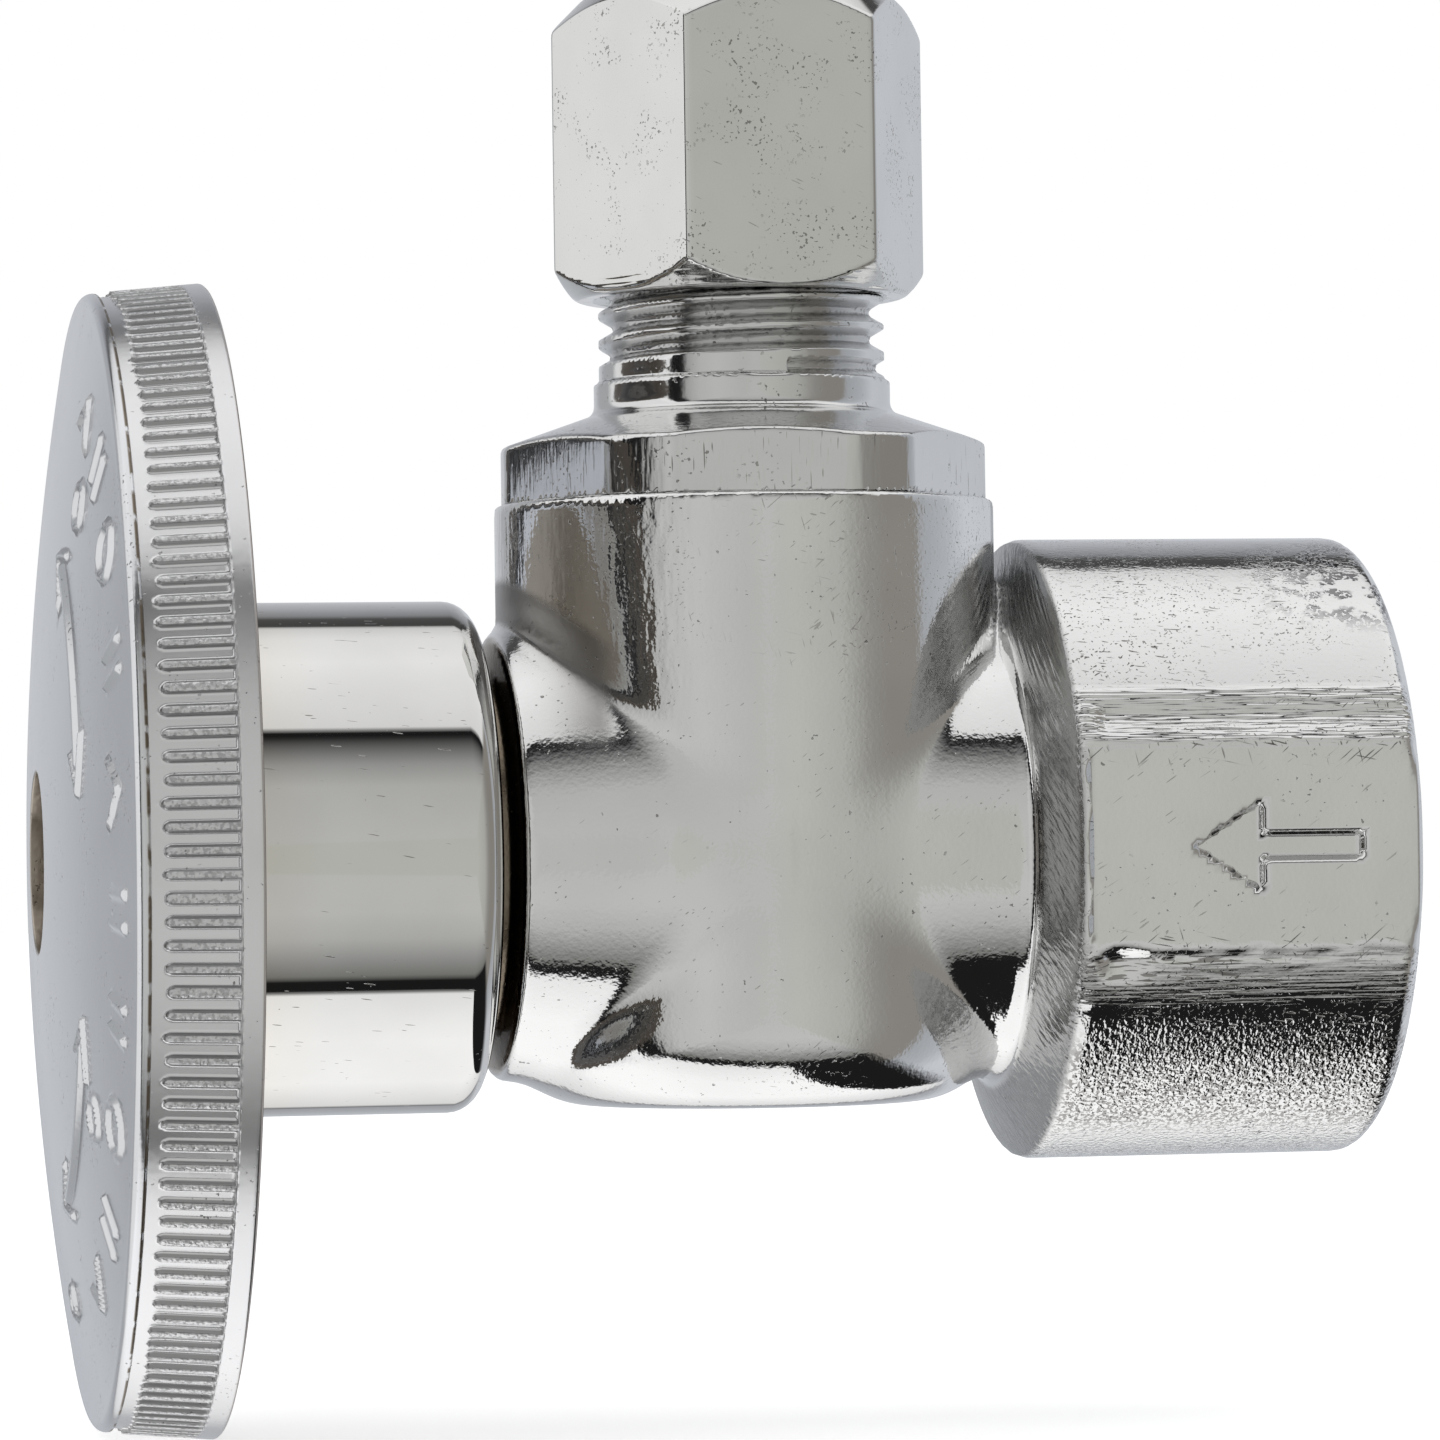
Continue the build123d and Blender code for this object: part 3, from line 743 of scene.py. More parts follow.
class Shader:
    """Adds nodes to a tree; each method returns the output socket of what it made."""

    def __init__(self, tree):
        self.tree = tree
        self.tree.nodes.clear()

    def node(self, kind, settings=None, **inputs):
        made = self.tree.nodes.new("ShaderNode" + kind)
        for name, value in (settings or {}).items():
            setattr(made, name, value)
        for name, value in inputs.items():
            self.feed(made.inputs[name.replace("_", " ")], value)
        return made

    def feed(self, socket, value):
        if isinstance(value, bpy.types.NodeSocket):
            self.tree.links.new(value, socket)
        else:
            socket.default_value = value

    def math(self, operation, a, b=0.0, clamp=False):
        made = self.node("Math", {"operation": operation, "use_clamp": clamp})
        self.feed(made.inputs[0], a)
        self.feed(made.inputs[1], b)
        return made.outputs[0]

    def all_of(self, *masks):
        """1 where every mask is 1."""
        product = masks[0]
        for mask in masks[1:]:
            product = self.math("MULTIPLY", product, mask)
        return product

    def length(self, a, b):
        """The hypotenuse of a and b."""
        squares = self.math("ADD", self.math("MULTIPLY", a, a), self.math("MULTIPLY", b, b))
        return self.math("SQRT", squares)

    def steps(self, value, low, high):
        """Maps value from low..high to 0..1, smoothly; low may be the higher one."""
        made = self.node("MapRange", {"interpolation_type": "SMOOTHSTEP"})
        self.feed(made.inputs["Value"], value)
        self.feed(made.inputs["From Min"], low)
        self.feed(made.inputs["From Max"], high)
        return made.outputs["Result"]

    def window(self, value, low, high, soft):
        """1 between low and high, fading to 0 over soft."""
        rise = self.steps(value, low - soft / 2, low + soft / 2)
        fall = self.steps(value, high + soft / 2, high - soft / 2)
        return self.math("MULTIPLY", rise, fall)

    def mix(self, factor, a, b, blend="MIX"):
        made = self.node("Mix", {"data_type": "RGBA", "blend_type": blend})
        self.feed(made.inputs["Factor"], factor)
        self.feed(made.inputs[6], a)
        self.feed(made.inputs[7], b)
        return made.outputs[2]

    def ramp(self, value, stops):
        made = self.node("ValToRGB", Fac=value)
        elements = made.color_ramp.elements
        elements[0].position, elements[0].color = stops[0]
        elements[1].position, elements[1].color = stops[-1]
        for position, color in stops[1:-1]:
            elements.new(position).color = color
        return made.outputs["Color"]

    def place(self, stretch=(1, 1, 1), turn=(0, 0, 0)):
        """Place on the piece, in millimetres about the ball's centre, turned and then stretched."""
        coords = self.node("TexCoord").outputs["Object"]
        moved = self.node("Mapping", Vector=coords)
        moved.inputs["Location"].default_value = (-BALL_X, 0, 0)
        moved.inputs["Scale"].default_value = (1 / MM, 1 / MM, 1 / MM)
        turned = self.node("Mapping", {"vector_type": "TEXTURE"}, Vector=moved.outputs["Vector"])
        turned.inputs["Rotation"].default_value = [math.radians(t) for t in turn]
        turned.inputs["Scale"].default_value = [1 / s for s in stretch]
        return turned.outputs["Vector"]

    def noise(self, place, size, detail=2.0, roughness=0.5):
        """Noise whose features are about size millimetres across."""
        made = self.node("TexNoise", Vector=place, Scale=1 / size, Detail=detail, Roughness=roughness)
        return made.outputs["Fac"]

    def bump(self, height, depth, normal=None):
        """A bump whose full height is depth millimetres."""
        made = self.node("Bump", Height=height, Distance=depth * MM, Strength=1.0)
        if normal is not None:
            self.feed(made.inputs["Normal"], normal)
        return made.outputs["Normal"]


def grey(value):
    return (value, value, value, 1)


def node_material(name):
    """An empty material that uses nodes."""
    material = bpy.data.materials.new(name)
    material.use_nodes = True
    return material


def finish_material(shader, **inputs):
    """Ends a node tree in a principled surface with these inputs."""
    surface = shader.node("BsdfPrincipled", **inputs)
    output = shader.node("OutputMaterial")
    shader.tree.links.new(surface.outputs[0], output.inputs["Surface"])


class Metal(Shader):
    """Plated metal, to which grain, marks and scratches are added one after another."""

    def __init__(self, name, color, roughness):
        self.material = node_material(name)
        super().__init__(self.material.node_tree)
        split = self.node("SeparateXYZ", Vector=self.place())
        self.x, self.y, self.z = split.outputs
        self.about_x = self.length(self.y, self.z)
        self.about_z = self.length(self.x, self.y)
        self.patch = self.noise(self.place(), 4.0, 3.0)
        worn = [c * 0.95 for c in color]
        self.tone = self.mix(self.steps(self.patch, 0.3, 0.7), (*worn, 1), (*color, 1))
        self.rough = self.math("ADD", self.math("MULTIPLY", self.patch, roughness * 0.7), roughness * 0.65)
        self.normal = None

    def within(self, radius):
        """1 within that radius of the X axis."""
        return self.steps(self.about_x, radius + 0.1, radius - 0.1)

    def grain(self, size, depth, where=1.0, stretch=(1, 1, 1), turn=(0, 0, 0)):
        """Uneven skin under the plating, with features of that size and depth in millimetres."""
        height = self.math("MULTIPLY", self.noise(self.place(stretch, turn), size, 1.0), where)
        self.normal = self.bump(height, depth, self.normal)

    def mark(self, mask, shade, depth=0.0, roughness=0.0):
        """Darkens the metal by shade where the mask is 1, and sinks and dulls it there."""
        self.tone = self.mix(mask, self.tone, (*shade, 1), "MULTIPLY")
        if depth:
            self.normal = self.bump(mask, -depth, self.normal)
        if roughness:
            self.rough = self.math("ADD", self.rough, self.math("MULTIPLY", mask, roughness), clamp=True)

    def scratches(self, turn, shade, where=1.0, level=0.7, size=0.08, length=14, depth=0.004):
        """Thin lines along X turned by turn, in the patches where the wear is."""
        lines = self.noise(self.place((1 / length, 1, 1), turn), size, 0.0)
        mask = self.all_of(self.steps(lines, level, level + 0.05), self.steps(self.patch, 0.36, 0.56), where)
        self.mark(mask, shade, depth, 0.1)

    def pits(self, size, shade, where=1.0, level=0.68, depth=0.02):
        """Small dark spots in clusters."""
        spots = self.noise(self.place(), size, 1.0)
        cluster = self.steps(self.noise(self.place((1, 1, 1), (40, 20, 0)), 2.2, 2.0), 0.5, 0.62)
        self.mark(self.all_of(self.steps(spots, level, level + 0.05), cluster, where), shade, depth, 0.1)

    def finish(self):
        """The finished material."""
        finish_material(self, Base_Color=self.tone, Metallic=1.0, Roughness=self.rough, Normal=self.normal)
        return self.material


# Shades that a mark multiplies the metal's colour by. Most are the metal's own tones, dirt and wear; some
# are painted shade, painted shadow and a painted reflection, as said where they are used.
GRIME_AND_GAP_SHADE = (0.30, 0.25, 0.19)
SMUDGE = (0.42, 0.41, 0.40)
RUB = (0.66, 0.65, 0.64)
MACHINED = (0.56, 0.56, 0.56)
RUBBED_THROUGH = (0.22, 0.21, 0.22)
BRASSY = (0.9, 0.76, 0.55)
PAINTED_CREASE_SHADE = (0.52, 0.51, 0.50)
SPECKLE_AND_ROOT_SHADE = (0.72, 0.72, 0.72)
RIB_SHADE = (0.95, 0.95, 0.95)
PAINTED_RIB_WALL_SHADE = (0.5, 0.5, 0.5)
WHEEL_REFLECTION_TINT = (1.0, 0.95, 0.87)
RECESS_BROWN_AND_SHADE = (0.42, 0.33, 0.22)
WEB_BACK_SHADE = (0.62, 0.55, 0.46)
WEB_OUTER_SHADOW = (0.28, 0.275, 0.27)
LIP_BROWN = (0.75, 0.66, 0.57)
RIM_BACK_SHADE = (0.34, 0.335, 0.33)
SKIRT_INSIDE_SHADE = (0.34, 0.28, 0.22)

# Where the marks are on the body, along Z or X.
BELLY_Z = (-5.8, -6.6)
LOW_BELLY_Z = (-7.2, -8.2)
UNDER_BELLY_Z = (-10.6, -7.2)
CHANNEL_ZONE_Z = (3.85, 5.9)
UNDER_FLAT_Z = (-5.9, -3.95)
LEFT_WALL_X = (-2.5, -4.0)
LEFT_WALL_Z = (3.0, 6.0)
MOUTH_RUB_X = (17.0, 22.5)
MOUTH_RUB_Z = (8.4, 11.3)


def forged_skin(metal, socket, under_flat):
    """The grain of each part of the forging: belly, channel, flat, machined shoulder and left wall."""
    belly = metal.all_of(socket, metal.steps(metal.z, *BELLY_Z))
    low_belly = metal.all_of(socket, metal.steps(metal.z, *LOW_BELLY_Z))
    channel = metal.all_of(socket, metal.window(metal.z, *CHANNEL_ZONE_Z, 0.3))
    shoulder = metal.window(metal.x, SHOULDER_FOOT[0] - 0.3, SHOULDER_TOP[0] + 0.1, 0.2)
    shoulder = metal.all_of(shoulder, metal.steps(metal.about_x, NECK_R + 0.25, NECK_R + 0.6))
    above_stub = metal.steps(metal.about_x, STUB_R + 1.2, STUB_R + 2.4)
    left_wall = metal.all_of(above_stub, metal.steps(metal.z, *LEFT_WALL_Z))
    left_wall = metal.all_of(left_wall, metal.steps(metal.x, *LEFT_WALL_X))
    metal.grain(0.15, 0.018, belly, (1, 1, 0.4))
    metal.grain(0.15, 0.045, low_belly, (1, 1, 0.5))
    metal.grain(0.14, 0.09, channel, (0.06, 1, 1))
    metal.grain(0.2, 0.03, under_flat, (0.06, 1, 1))
    metal.grain(0.22, 0.07, shoulder, (1, 0.1, 1), (40, 0, 0))
    metal.grain(0.35, 0.02, left_wall, (1, 1, 0.25))
    metal.mark(shoulder, MACHINED, 0.0, 0.2)


def socket_wear(metal, socket, under_flat):
    """Speckles under the belly, a patch rubbed at the mouth, scratches and pits."""
    fine = metal.noise(metal.place((1, 1, 0.6)), 0.14, 1.0)
    under_belly = metal.window(metal.z, *UNDER_BELLY_Z, 1.2)
    metal.mark(metal.all_of(socket, under_belly, metal.steps(fine, 0.46, 0.58)), SMUDGE)
    rubbed = metal.steps(metal.noise(metal.place(), 0.9, 2.0), 0.44, 0.54)
    mouth = metal.all_of(metal.steps(metal.x, *MOUTH_RUB_X), metal.window(metal.z, *MOUTH_RUB_Z, 1.4))
    mouth = metal.all_of(mouth, metal.steps(metal.y, 1.0, -1.0))
    metal.mark(metal.all_of(mouth, rubbed, metal.steps(fine, 0.42, 0.52)), RUBBED_THROUGH, 0.02)
    round_part = metal.steps(metal.about_x, FLAT_HALF + 0.35, FLAT_HALF + 0.5)
    for turn in (-40, 12, 75):
        metal.scratches((0, turn, 0), SMUDGE, metal.all_of(round_part, socket), 0.735)
        metal.scratches((0, turn, 0), RUB, round_part, 0.765)
    metal.scratches((0, -35, 0), RUB, 1.0, 0.8, 0.07, 10)
    metal.scratches((0, 0, 0), SMUDGE, under_flat, 0.6)
    metal.pits(0.2, SMUDGE, 1.0, 0.72)


def body_metal():
    metal = Metal("body_chrome", (0.87, 0.87, 0.865), 0.06)
    metal.grain(1.6, 0.010)
    metal.grain(0.17, 0.006)
    socket = metal.steps(metal.x, SHOULDER_TOP[0] - 0.1, SHOULDER_TOP[0] + 0.3)
    under_flat = metal.all_of(socket, metal.window(metal.z, *UNDER_FLAT_Z, 0.2))
    forged_skin(metal, socket, under_flat)
    socket_wear(metal, socket, under_flat)
    past_shoulder = metal.steps(metal.x, SHOULDER_TOP[0], SHOULDER_TOP[0] + 0.5)
    metal.mark(metal.all_of(past_shoulder, metal.within(INLET_R + 1)), BRASSY, 0.0, 0.15)
    # Painted shade: the crease above the stub, next to the chamber, is darkened and dulled.
    crease = metal.all_of(
        metal.window(metal.about_x, STUB_R + 0.3, STUB_R + 2.0, 0.5),
        metal.steps(metal.x, -6.0, -7.0),
        metal.steps(metal.z, 3.5, 5.0),
    )
    metal.mark(crease, PAINTED_CREASE_SHADE, 0.0, 0.28)
    # Painted shadow: the stub's end, where it meets the handle's skirt, is darkened and dulled to stand in
    # for the shade in the gap.
    gap = metal.steps(metal.x, STUB_END + 0.12, STUB_END - 0.02)
    metal.mark(gap, GRIME_AND_GAP_SHADE, 0.0, 0.2)
    return metal.finish()


def fitting_metal():
    metal = Metal("fitting_chrome", (0.79, 0.79, 0.785), 0.09)
    metal.grain(1.4, 0.004)
    metal.grain(0.2, 0.002)
    # Painted shade: the thread's flanks and roots, below the crests, are darkened and dulled.
    threaded = metal.all_of(
        metal.steps(metal.z, FITTING_NECK_TOP - 0.1, FITTING_NECK_TOP + 0.2),
        metal.steps(metal.about_z, THREAD_R - 0.12, THREAD_R - 0.4),
    )
    metal.mark(threaded, SPECKLE_AND_ROOT_SHADE, 0.0, 0.1)
    collar = metal.steps(metal.z, CONE_TOP_Z, CONE_TOP_Z - 1)
    metal.grain(0.25, 0.012, collar, (1, 1, 0.2))
    metal.scratches((0, 90, 0), SMUDGE, collar, 0.74)
    metal.pits(0.2, SMUDGE, 1.0, 0.66)
    return metal.finish()


def nut_metal():
    metal = Metal("nut_chrome", (0.80, 0.80, 0.785), 0.07)
    metal.grain(0.6, 0.0012)
    lower_chamfer = metal.steps(metal.z, NUT_LOW[2] + 1.3, NUT_LOW[2] + 1.0)
    metal.grain(0.2, 0.03, lower_chamfer, (0.1, 0.1, 1))
    metal.scratches((0, 25, 0), RUB, 1.0, 0.8)
    metal.pits(0.13, SMUDGE, 1.0, 0.64)
    return metal.finish()


def face_metal():
    metal = Metal("wheel_chrome", (0.82, 0.83, 0.85), 0.17)
    metal.grain(0.25, 0.003)
    metal.pits(0.14, SMUDGE)
    recess = metal.within(RECESS_R + 0.04)
    metal.grain(0.5, 0.02, recess)
    # The recess and the screw hole get a brown tone, darkened further with painted shade.
    metal.mark(recess, RECESS_BROWN_AND_SHADE, 0.0, 0.2)
    back = metal.steps(metal.x, WEB_BACK_X - 0.3, WEB_BACK_X - 0.1)
    metal.grain(0.3, 0.002, back)
    web = metal.all_of(back, metal.within(WEB_DULL_R))
    outer_web = metal.all_of(back, metal.steps(metal.about_x, WEB_DARK_R - 0.1, WEB_DARK_R + 0.1))
    # Painted shade: the wheel's back is darkened to a taupe within the web, and painted shadow darkens it
    # further out, under the rim's lip.
    metal.mark(web, WEB_BACK_SHADE, 0.0, 0.24)
    metal.mark(outer_web, WEB_OUTER_SHADOW, 0.0, 0.2)
    seam = metal.window(metal.x, RIM_FRONT_X + 0.31, RIM_FRONT_X + 0.9, 0.06)
    broken = metal.steps(metal.noise(metal.place(), 0.8, 2.0), 0.38, 0.5)
    metal.mark(metal.all_of(seam, broken), GRIME_AND_GAP_SHADE, 0.0, 0.2)
    return metal.finish()


def rim_metal():
    metal = Metal("rim_chrome", (0.86, 0.86, 0.87), 0.24)
    metal.grain(0.5, 0.004)
    rise = metal.math("MULTIPLY", metal.x, RIM_SLOPE)
    outside = metal.math("ADD", rise, RIM_FRONT_R - RIM_SLOPE * RIM_FRONT_X)
    sunk = metal.math("SUBTRACT", outside, metal.about_x)
    ribbed = metal.window(metal.x, RIB_TIP_X - 0.1, GROOVE_END_X + 0.04, 0.04)
    rib_top = metal.all_of(ribbed, metal.steps(sunk, 0.05, 0.02))
    wall = metal.all_of(ribbed, metal.window(sunk, 0.04, RIB_HEIGHT - 0.04, 0.03))
    metal.grain(0.12, 0.06, rib_top)
    metal.mark(rib_top, RIB_SHADE, 0.0, 0.1)
    speckle = metal.steps(metal.noise(metal.place(), 0.16, 1.0), 0.48, 0.62)
    metal.mark(metal.all_of(rib_top, speckle), SPECKLE_AND_ROOT_SHADE, 0.0, 0.1)
    # Painted shade: the ribs' side walls are darkened to stand in for the shade in the grooves between them.
    metal.mark(wall, PAINTED_RIB_WALL_SHADE, 0.0, 0.1)
    broken = metal.steps(metal.noise(metal.place(), 0.7, 2.0), 0.42, 0.52)
    front_edge = metal.all_of(metal.steps(metal.x, RIM_FRONT_X + 0.42, RIM_FRONT_X + 0.36), broken)
    metal.mark(front_edge, GRIME_AND_GAP_SHADE, 0.0, 0.2)
    near_back = metal.steps(metal.x, RIM_BACK_X - 0.12, RIM_BACK_X - 0.05)
    metal.mark(metal.all_of(near_back, metal.within(RIM_R - 0.02)), LIP_BROWN, 0.0, 0.2)
    # Painted shade: the rim's back face and its inside, under the lip, are darkened.
    at_back = metal.steps(metal.x, RIM_BACK_X - 0.05, RIM_BACK_X)
    behind = metal.math("MAXIMUM", metal.within(RIM_R - 1.2), at_back)
    metal.mark(behind, RIM_BACK_SHADE, 0.0, 0.1)
    metal.pits(0.15, SMUDGE, 1.0, 0.72)
    return metal.finish()


def skirt_metal():
    metal = Metal("skirt_chrome", (0.81, 0.805, 0.79), 0.03)
    metal.grain(3.0, 0.001)
    # Painted reflection: the skirt warms towards the wheel, standing in for the wheel's back reflected in
    # it.
    wheel_reflection_zone = metal.steps(metal.x, -17.0, -22.0)
    metal.mark(wheel_reflection_zone, WHEEL_REFLECTION_TINT)
    inside = metal.within(SKIRT_INNER_R + 0.2)
    # Painted shade: the inside of the skirt and hub is darkened to a dark brown.
    metal.mark(inside, SKIRT_INSIDE_SHADE, 0.0, 0.25)
    metal.scratches((0, 10, 0), SMUDGE, 1.0, 0.8)
    metal.pits(0.12, SMUDGE, 1.0, 0.79)
    return metal.finish()


def plain(name, low, high, size, roughness, depth, metallic=0.0, stretch=(1, 1, 1)):
    """A material whose colour, roughness and bump vary over size millimetres."""
    material = node_material(name)
    shader = Shader(material.node_tree)
    mottle = shader.noise(shader.place(stretch), size, 4.0)
    tone = shader.mix(mottle, (*low, 1), (*high, 1))
    rough = shader.math("ADD", shader.math("MULTIPLY", mottle, 0.15), roughness)
    fine = shader.noise(shader.place(stretch), size / 4, 3.0)
    normal = shader.bump(fine, depth)
    finish_material(shader, Base_Color=tone, Metallic=metallic, Roughness=rough, Normal=normal)
    return material


def paint(piece, material):
    """Gives the piece this material alone."""
    piece.data.materials.clear()
    piece.data.materials.append(material)


# ---------------- build

brass = plain("turned_brass", (0.55, 0.38, 0.16), (0.72, 0.55, 0.28), 1.2, 0.22, 0.004, 1.0, (3, 1, 1))
ball_chrome = plain("ball_chrome", (0.74, 0.74, 0.74), (0.82, 0.82, 0.82), 2.0, 0.05, 0.0005, 1.0)
ptfe = plain("ptfe", (0.80, 0.80, 0.76), (0.88, 0.88, 0.85), 2.0, 0.45, 0.004)
acetal = plain("acetal", (0.74, 0.72, 0.65), (0.82, 0.80, 0.74), 2.0, 0.35, 0.003)
rubber = plain("rubber", (0.018, 0.018, 0.018), (0.05, 0.05, 0.05), 0.8, 0.5, 0.006)
steel = plain("zinc_steel", (0.42, 0.36, 0.27), (0.62, 0.56, 0.46), 0.8, 0.28, 0.004, 1.0)

for node, material in {
    "adapter_o_ring": rubber,
    "outlet_seat": ptfe,
    "outlet_seat_backing_ring": rubber,
    "lower_seat": ptfe,
    "valve_ball": ball_chrome,
    "stem": brass,
    "stem_o_ring_inner": rubber,
    "stem_o_ring_outer": rubber,
    "stem_thrust_washer": ptfe,
    "stem_guide_bush": acetal,
    "handle_lock_washer": steel,
    "handle_screw": steel,
    "compression_sleeve": brass,
}.items():
    paint(frame["nodes"][node], material)

def add_piece(piece, material, body, node):
    """Paints the piece, and puts it on a CAD body in place of a CAD node."""
    paint(piece, material)
    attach(piece, body)
    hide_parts(node)


coarse = 1.0
forging_cell = 0.29 * coarse
fitting_cell = 0.16 * coarse
nut_cell = 0.14 * coarse

forging = solid_from_distance("body_forging", valve_body, BODY_LOW, BODY_HIGH, forging_cell)
add_piece(forging, body_metal(), "body", "valve_body")
fitting = solid_from_distance("outlet_fitting", outlet_fitting, FITTING_LOW, FITTING_HIGH, fitting_cell)
add_piece(fitting, fitting_metal(), "body", "outlet_adapter")
hex_nut = solid_from_distance("hex_nut", compression_nut, NUT_LOW, NUT_HIGH, nut_cell)
add_piece(hex_nut, nut_metal(), "nut", "compression_nut")

face, face_edge_x = handle_face()
rim = handle_rim(face_edge_x)
skirt = handle_skirt()
for piece, material in ((face, face_metal()), (rim, rim_metal()), (skirt, skirt_metal())):
    add_piece(piece, material, "handle_and_ball", "handle")

# ---------------- studio

GAP = grey(0.012)
UMBER = (0.27, 0.255, 0.235, 1)

# The studio's light by angle in degrees, over the object: 0 is level in front, 90 overhead and -90 below.
LIGHT_OVER = (
    (-180, (0.56, 0.58, 0.62, 1)),
    (-164, (0.49, 0.51, 0.54, 1)),
    (-150.5, (0.38, 0.39, 0.42, 1)),
    (-148.5, grey(0.10)),
    (-147, grey(0.80)),
    (-120, grey(1.10)),
    (-90, grey(1.08)),
    (-63, grey(0.92)),
    (-61.5, GAP),
    (-56, GAP),
    (-54, (0.20, 0.20, 0.19, 1)),
    (-46, (0.33, 0.33, 0.325, 1)),
    (-36, (0.50, 0.50, 0.49, 1)),
    (-24, (0.57, 0.57, 0.56, 1)),
    (10, (0.545, 0.545, 0.535, 1)),
    (32, (0.50, 0.50, 0.49, 1)),
    (42, (0.35, 0.35, 0.345, 1)),
    (52, (0.10, 0.10, 0.10, 1)),
    (55.5, GAP),
    (58.5, GAP),
    (60, grey(0.78)),
    (98, grey(0.96)),
    (116, grey(0.88)),
    (126, grey(0.70)),
    (128, grey(0.06)),
    (136, grey(0.08)),
    (140, (0.26, 0.265, 0.28, 1)),
    (152, (0.42, 0.43, 0.46, 1)),
    (180, (0.64, 0.655, 0.69, 1)),
)

# The studio's light by angle in degrees, round the object: 0 is towards the camera and 90 to its right.
LIGHT_ROUND = (
    (-180, (0.64, 0.655, 0.69, 1)),
    (-158, (0.56, 0.575, 0.60, 1)),
    (-148, (0.42, 0.43, 0.45, 1)),
    (-128, (0.42, 0.43, 0.44, 1)),
    (-122, grey(0.84)),
    (-68, grey(0.88)),
    (-66, grey(0.97)),
    (-60.5, grey(0.97)),
    (-59.5, GAP),
    (-48, GAP),
    (-44, (0.42, 0.42, 0.415, 1)),
    (-34, (0.55, 0.55, 0.54, 1)),
    (-20, (0.59, 0.59, 0.58, 1)),
    (0, (0.53, 0.53, 0.52, 1)),
    (22, (0.53, 0.535, 0.50, 1)),
    (44, (0.46, 0.46, 0.435, 1)),
    (58, (0.30, 0.295, 0.275, 1)),
    (68, UMBER),
    (85, UMBER),
    (89, (0.40, 0.415, 0.44, 1)),
    (106, (0.48, 0.50, 0.53, 1)),
    (122, (0.63, 0.65, 0.69, 1)),
    (140, (0.60, 0.62, 0.66, 1)),
    (180, (0.58, 0.60, 0.64, 1)),
)


def turn_share(degrees):
    """An angle's place in a full turn: 0 at -180 degrees and 1 at 180."""
    return (degrees + 180) / 360


def angle_share(shader, across, ahead):
    """The same for the direction that goes ahead and across by these."""
    turn = shader.math("DIVIDE", shader.math("ARCTAN2", across, ahead), 2 * math.pi)
    return shader.math("ADD", turn, 0.5)


def light_by_angle(shader, share, light):
    return shader.ramp(share, [(turn_share(degrees), color) for degrees, color in light])


def light_over(shader, x, z, toward):
    """Light from above, below, front and back, with a dark gap low in front that widens to the right."""
    over = angle_share(shader, z, toward)
    light = light_by_angle(shader, over, LIGHT_OVER)
    spread = shader.math("MAXIMUM", shader.math("SUBTRACT", x, WEDGE_START_X), 0)
    gap_low = shader.math("SUBTRACT", turn_share(-61), shader.math("MULTIPLY", spread, WEDGE_SPREAD))
    past_low = shader.math("GREATER_THAN", over, gap_low)
    past_high = shader.math("LESS_THAN", over, turn_share(-57))
    return shader.mix(shader.all_of(past_low, past_high), light, GAP)


def light_round(shader, x, toward):
    """Light from the left, front, right and back, turned to the camera's azimuth in the scene."""
    camera_turn = math.radians(CAMERA_AZIMUTH)
    ahead = shader.math("MULTIPLY", toward, math.cos(camera_turn))
    ahead = shader.math("ADD", ahead, shader.math("MULTIPLY", x, math.sin(camera_turn)))
    aside = shader.math("MULTIPLY", x, math.cos(camera_turn))
    aside = shader.math("SUBTRACT", aside, shader.math("MULTIPLY", toward, math.sin(camera_turn)))
    return light_by_angle(shader, angle_share(shader, aside, ahead), LIGHT_ROUND)


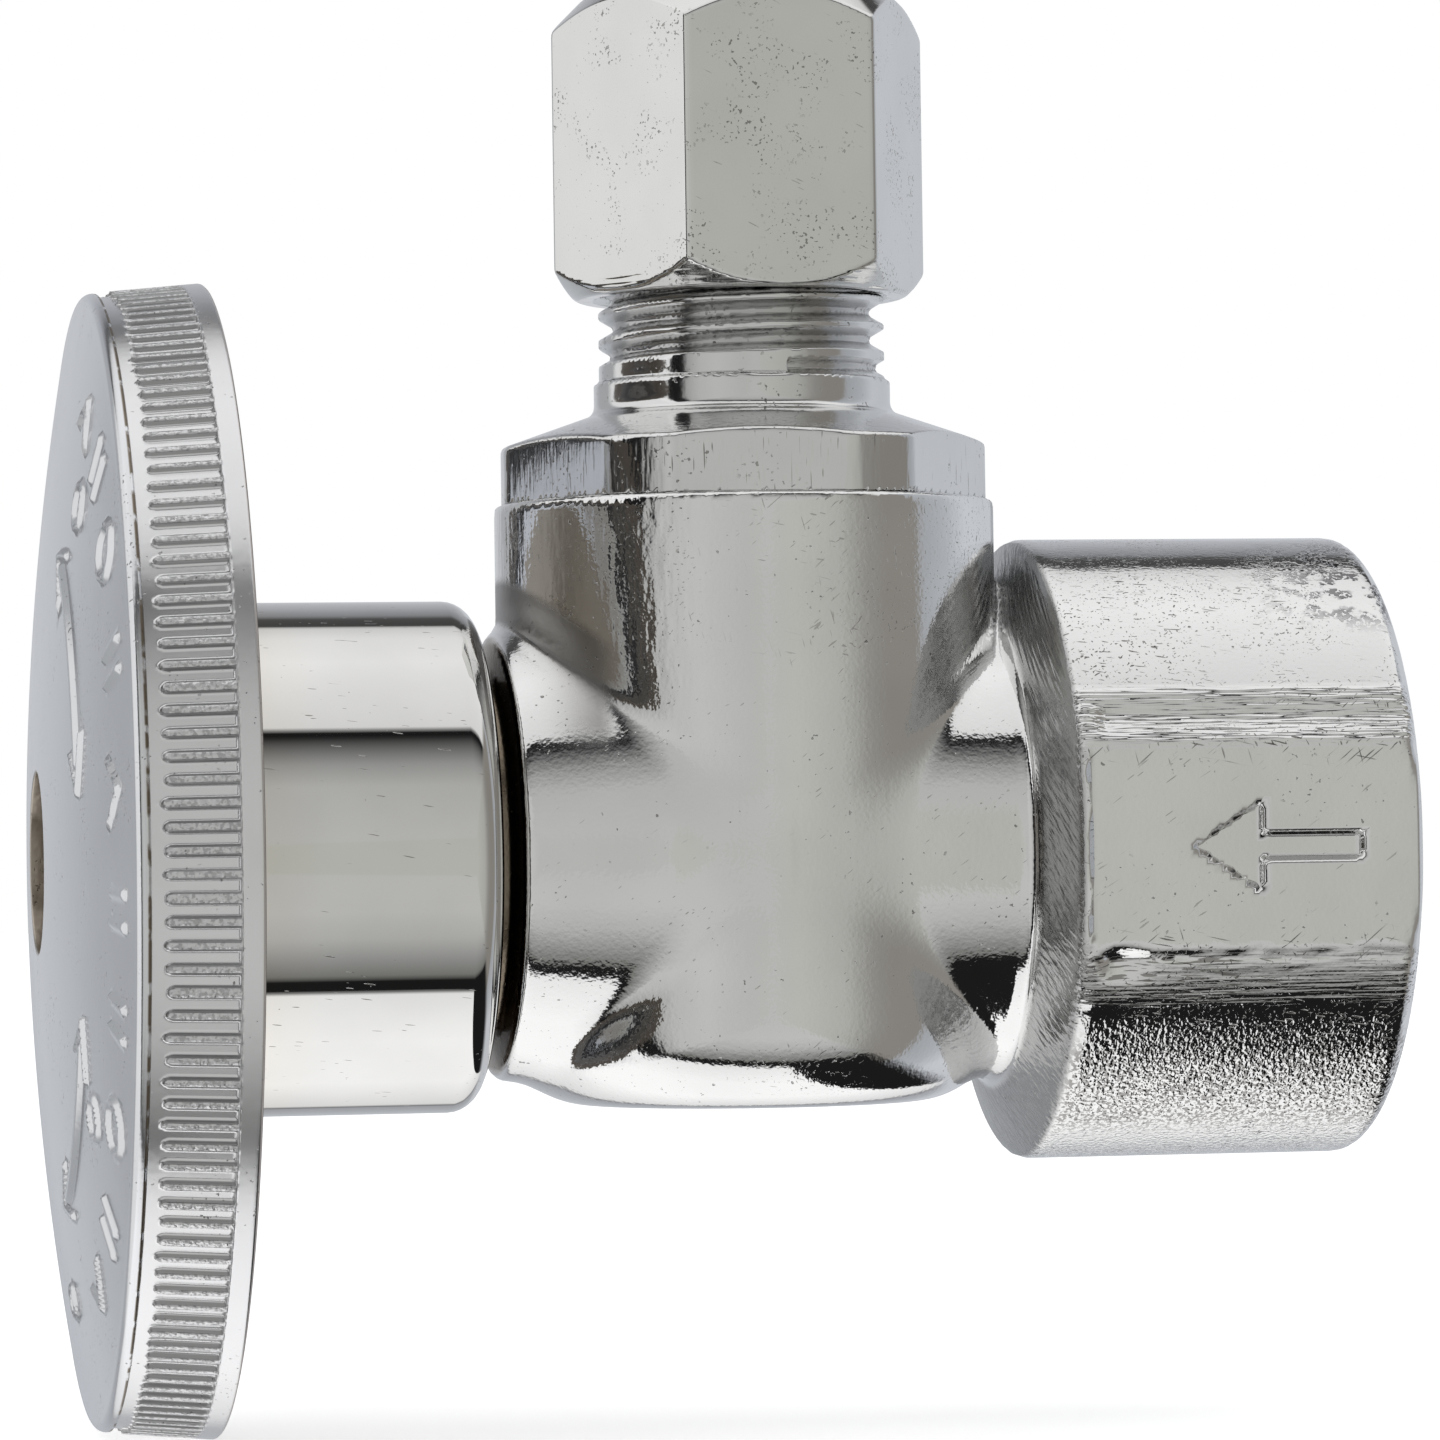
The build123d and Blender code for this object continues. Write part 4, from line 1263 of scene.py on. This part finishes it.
def sky():
    """Light by direction: light_round() where that is more sideways than up, and white if seen directly."""
    world = bpy.data.worlds.new("studio")
    world.use_nodes = True
    shader = Shader(world.node_tree)
    direction = shader.node("TexCoord").outputs["Generated"]
    split = shader.node("SeparateXYZ", Vector=direction)
    x, y, z = split.outputs
    toward = shader.math("MULTIPLY", y, -1)
    height = shader.math("ADD", shader.math("ABSOLUTE", z), 0.001)
    sideways = shader.steps(shader.math("DIVIDE", shader.math("ABSOLUTE", x), height), 0.85, 1.15)
    studio = shader.mix(sideways, light_over(shader, x, z, toward), light_round(shader, x, toward))
    seen = shader.node("LightPath").outputs["Is Camera Ray"]
    color = shader.mix(seen, studio, grey(1.0))
    background = shader.node("Background", Color=color)
    output = shader.node("OutputWorld")
    shader.tree.links.new(background.outputs[0], output.inputs["Surface"])
    bpy.context.scene.world = world


def pale_floor():
    """A plain floor under the object, which doesn't show in the chrome."""
    low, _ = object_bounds()
    corners = [(x * FLOOR_HALF, y * FLOOR_HALF, low[2]) for x, y in ((-1, -1), (1, -1), (1, 1), (-1, 1))]
    mesh = bpy.data.meshes.new("floor")
    mesh.from_pydata(corners, [], [(0, 1, 2, 3)])
    floor = bpy.data.objects.new("floor", mesh)
    bpy.context.scene.collection.objects.link(floor)
    floor.visible_glossy = False
    material = node_material("pale_floor")
    finish_material(
        Shader(material.node_tree),
        Base_Color=(0.93, 0.93, 0.93, 1),
        Roughness=0.9,
        Emission_Color=grey(1.0),
        Emission_Strength=FLOOR_GLOW,
    )
    paint(floor, material)
    floor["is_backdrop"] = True


def camera():
    """The camera at the photograph's angle and distance."""
    data = bpy.data.cameras.new("camera")
    data.sensor_width = CAMERA_SENSOR
    data.lens = CAMERA_LENS
    data.clip_start = 0.01
    data.clip_end = 10
    made = bpy.data.objects.new("camera", data)
    bpy.context.scene.collection.objects.link(made)
    azimuth = math.radians(CAMERA_AZIMUTH)
    elevation = math.radians(CAMERA_ELEVATION)
    roll = math.radians(CAMERA_ROLL)
    flat = math.cos(elevation)
    back = Vector((math.sin(azimuth) * flat, -math.cos(azimuth) * flat, math.sin(elevation)))
    level = Vector((math.cos(azimuth), math.sin(azimuth), 0))
    upright = back.cross(level)
    right = level * math.cos(roll) + upright * math.sin(roll)
    up = upright * math.cos(roll) - level * math.sin(roll)
    place = Vector(to_metres(CAMERA_TARGET)) + back * CAMERA_DISTANCE * MM
    made.matrix_world = Matrix.Translation(place) @ Matrix((right, up, back)).transposed().to_4x4()
    bpy.context.scene.camera = made


sky()
pale_floor()
camera()
bpy.context.scene.view_settings.view_transform = "Standard"
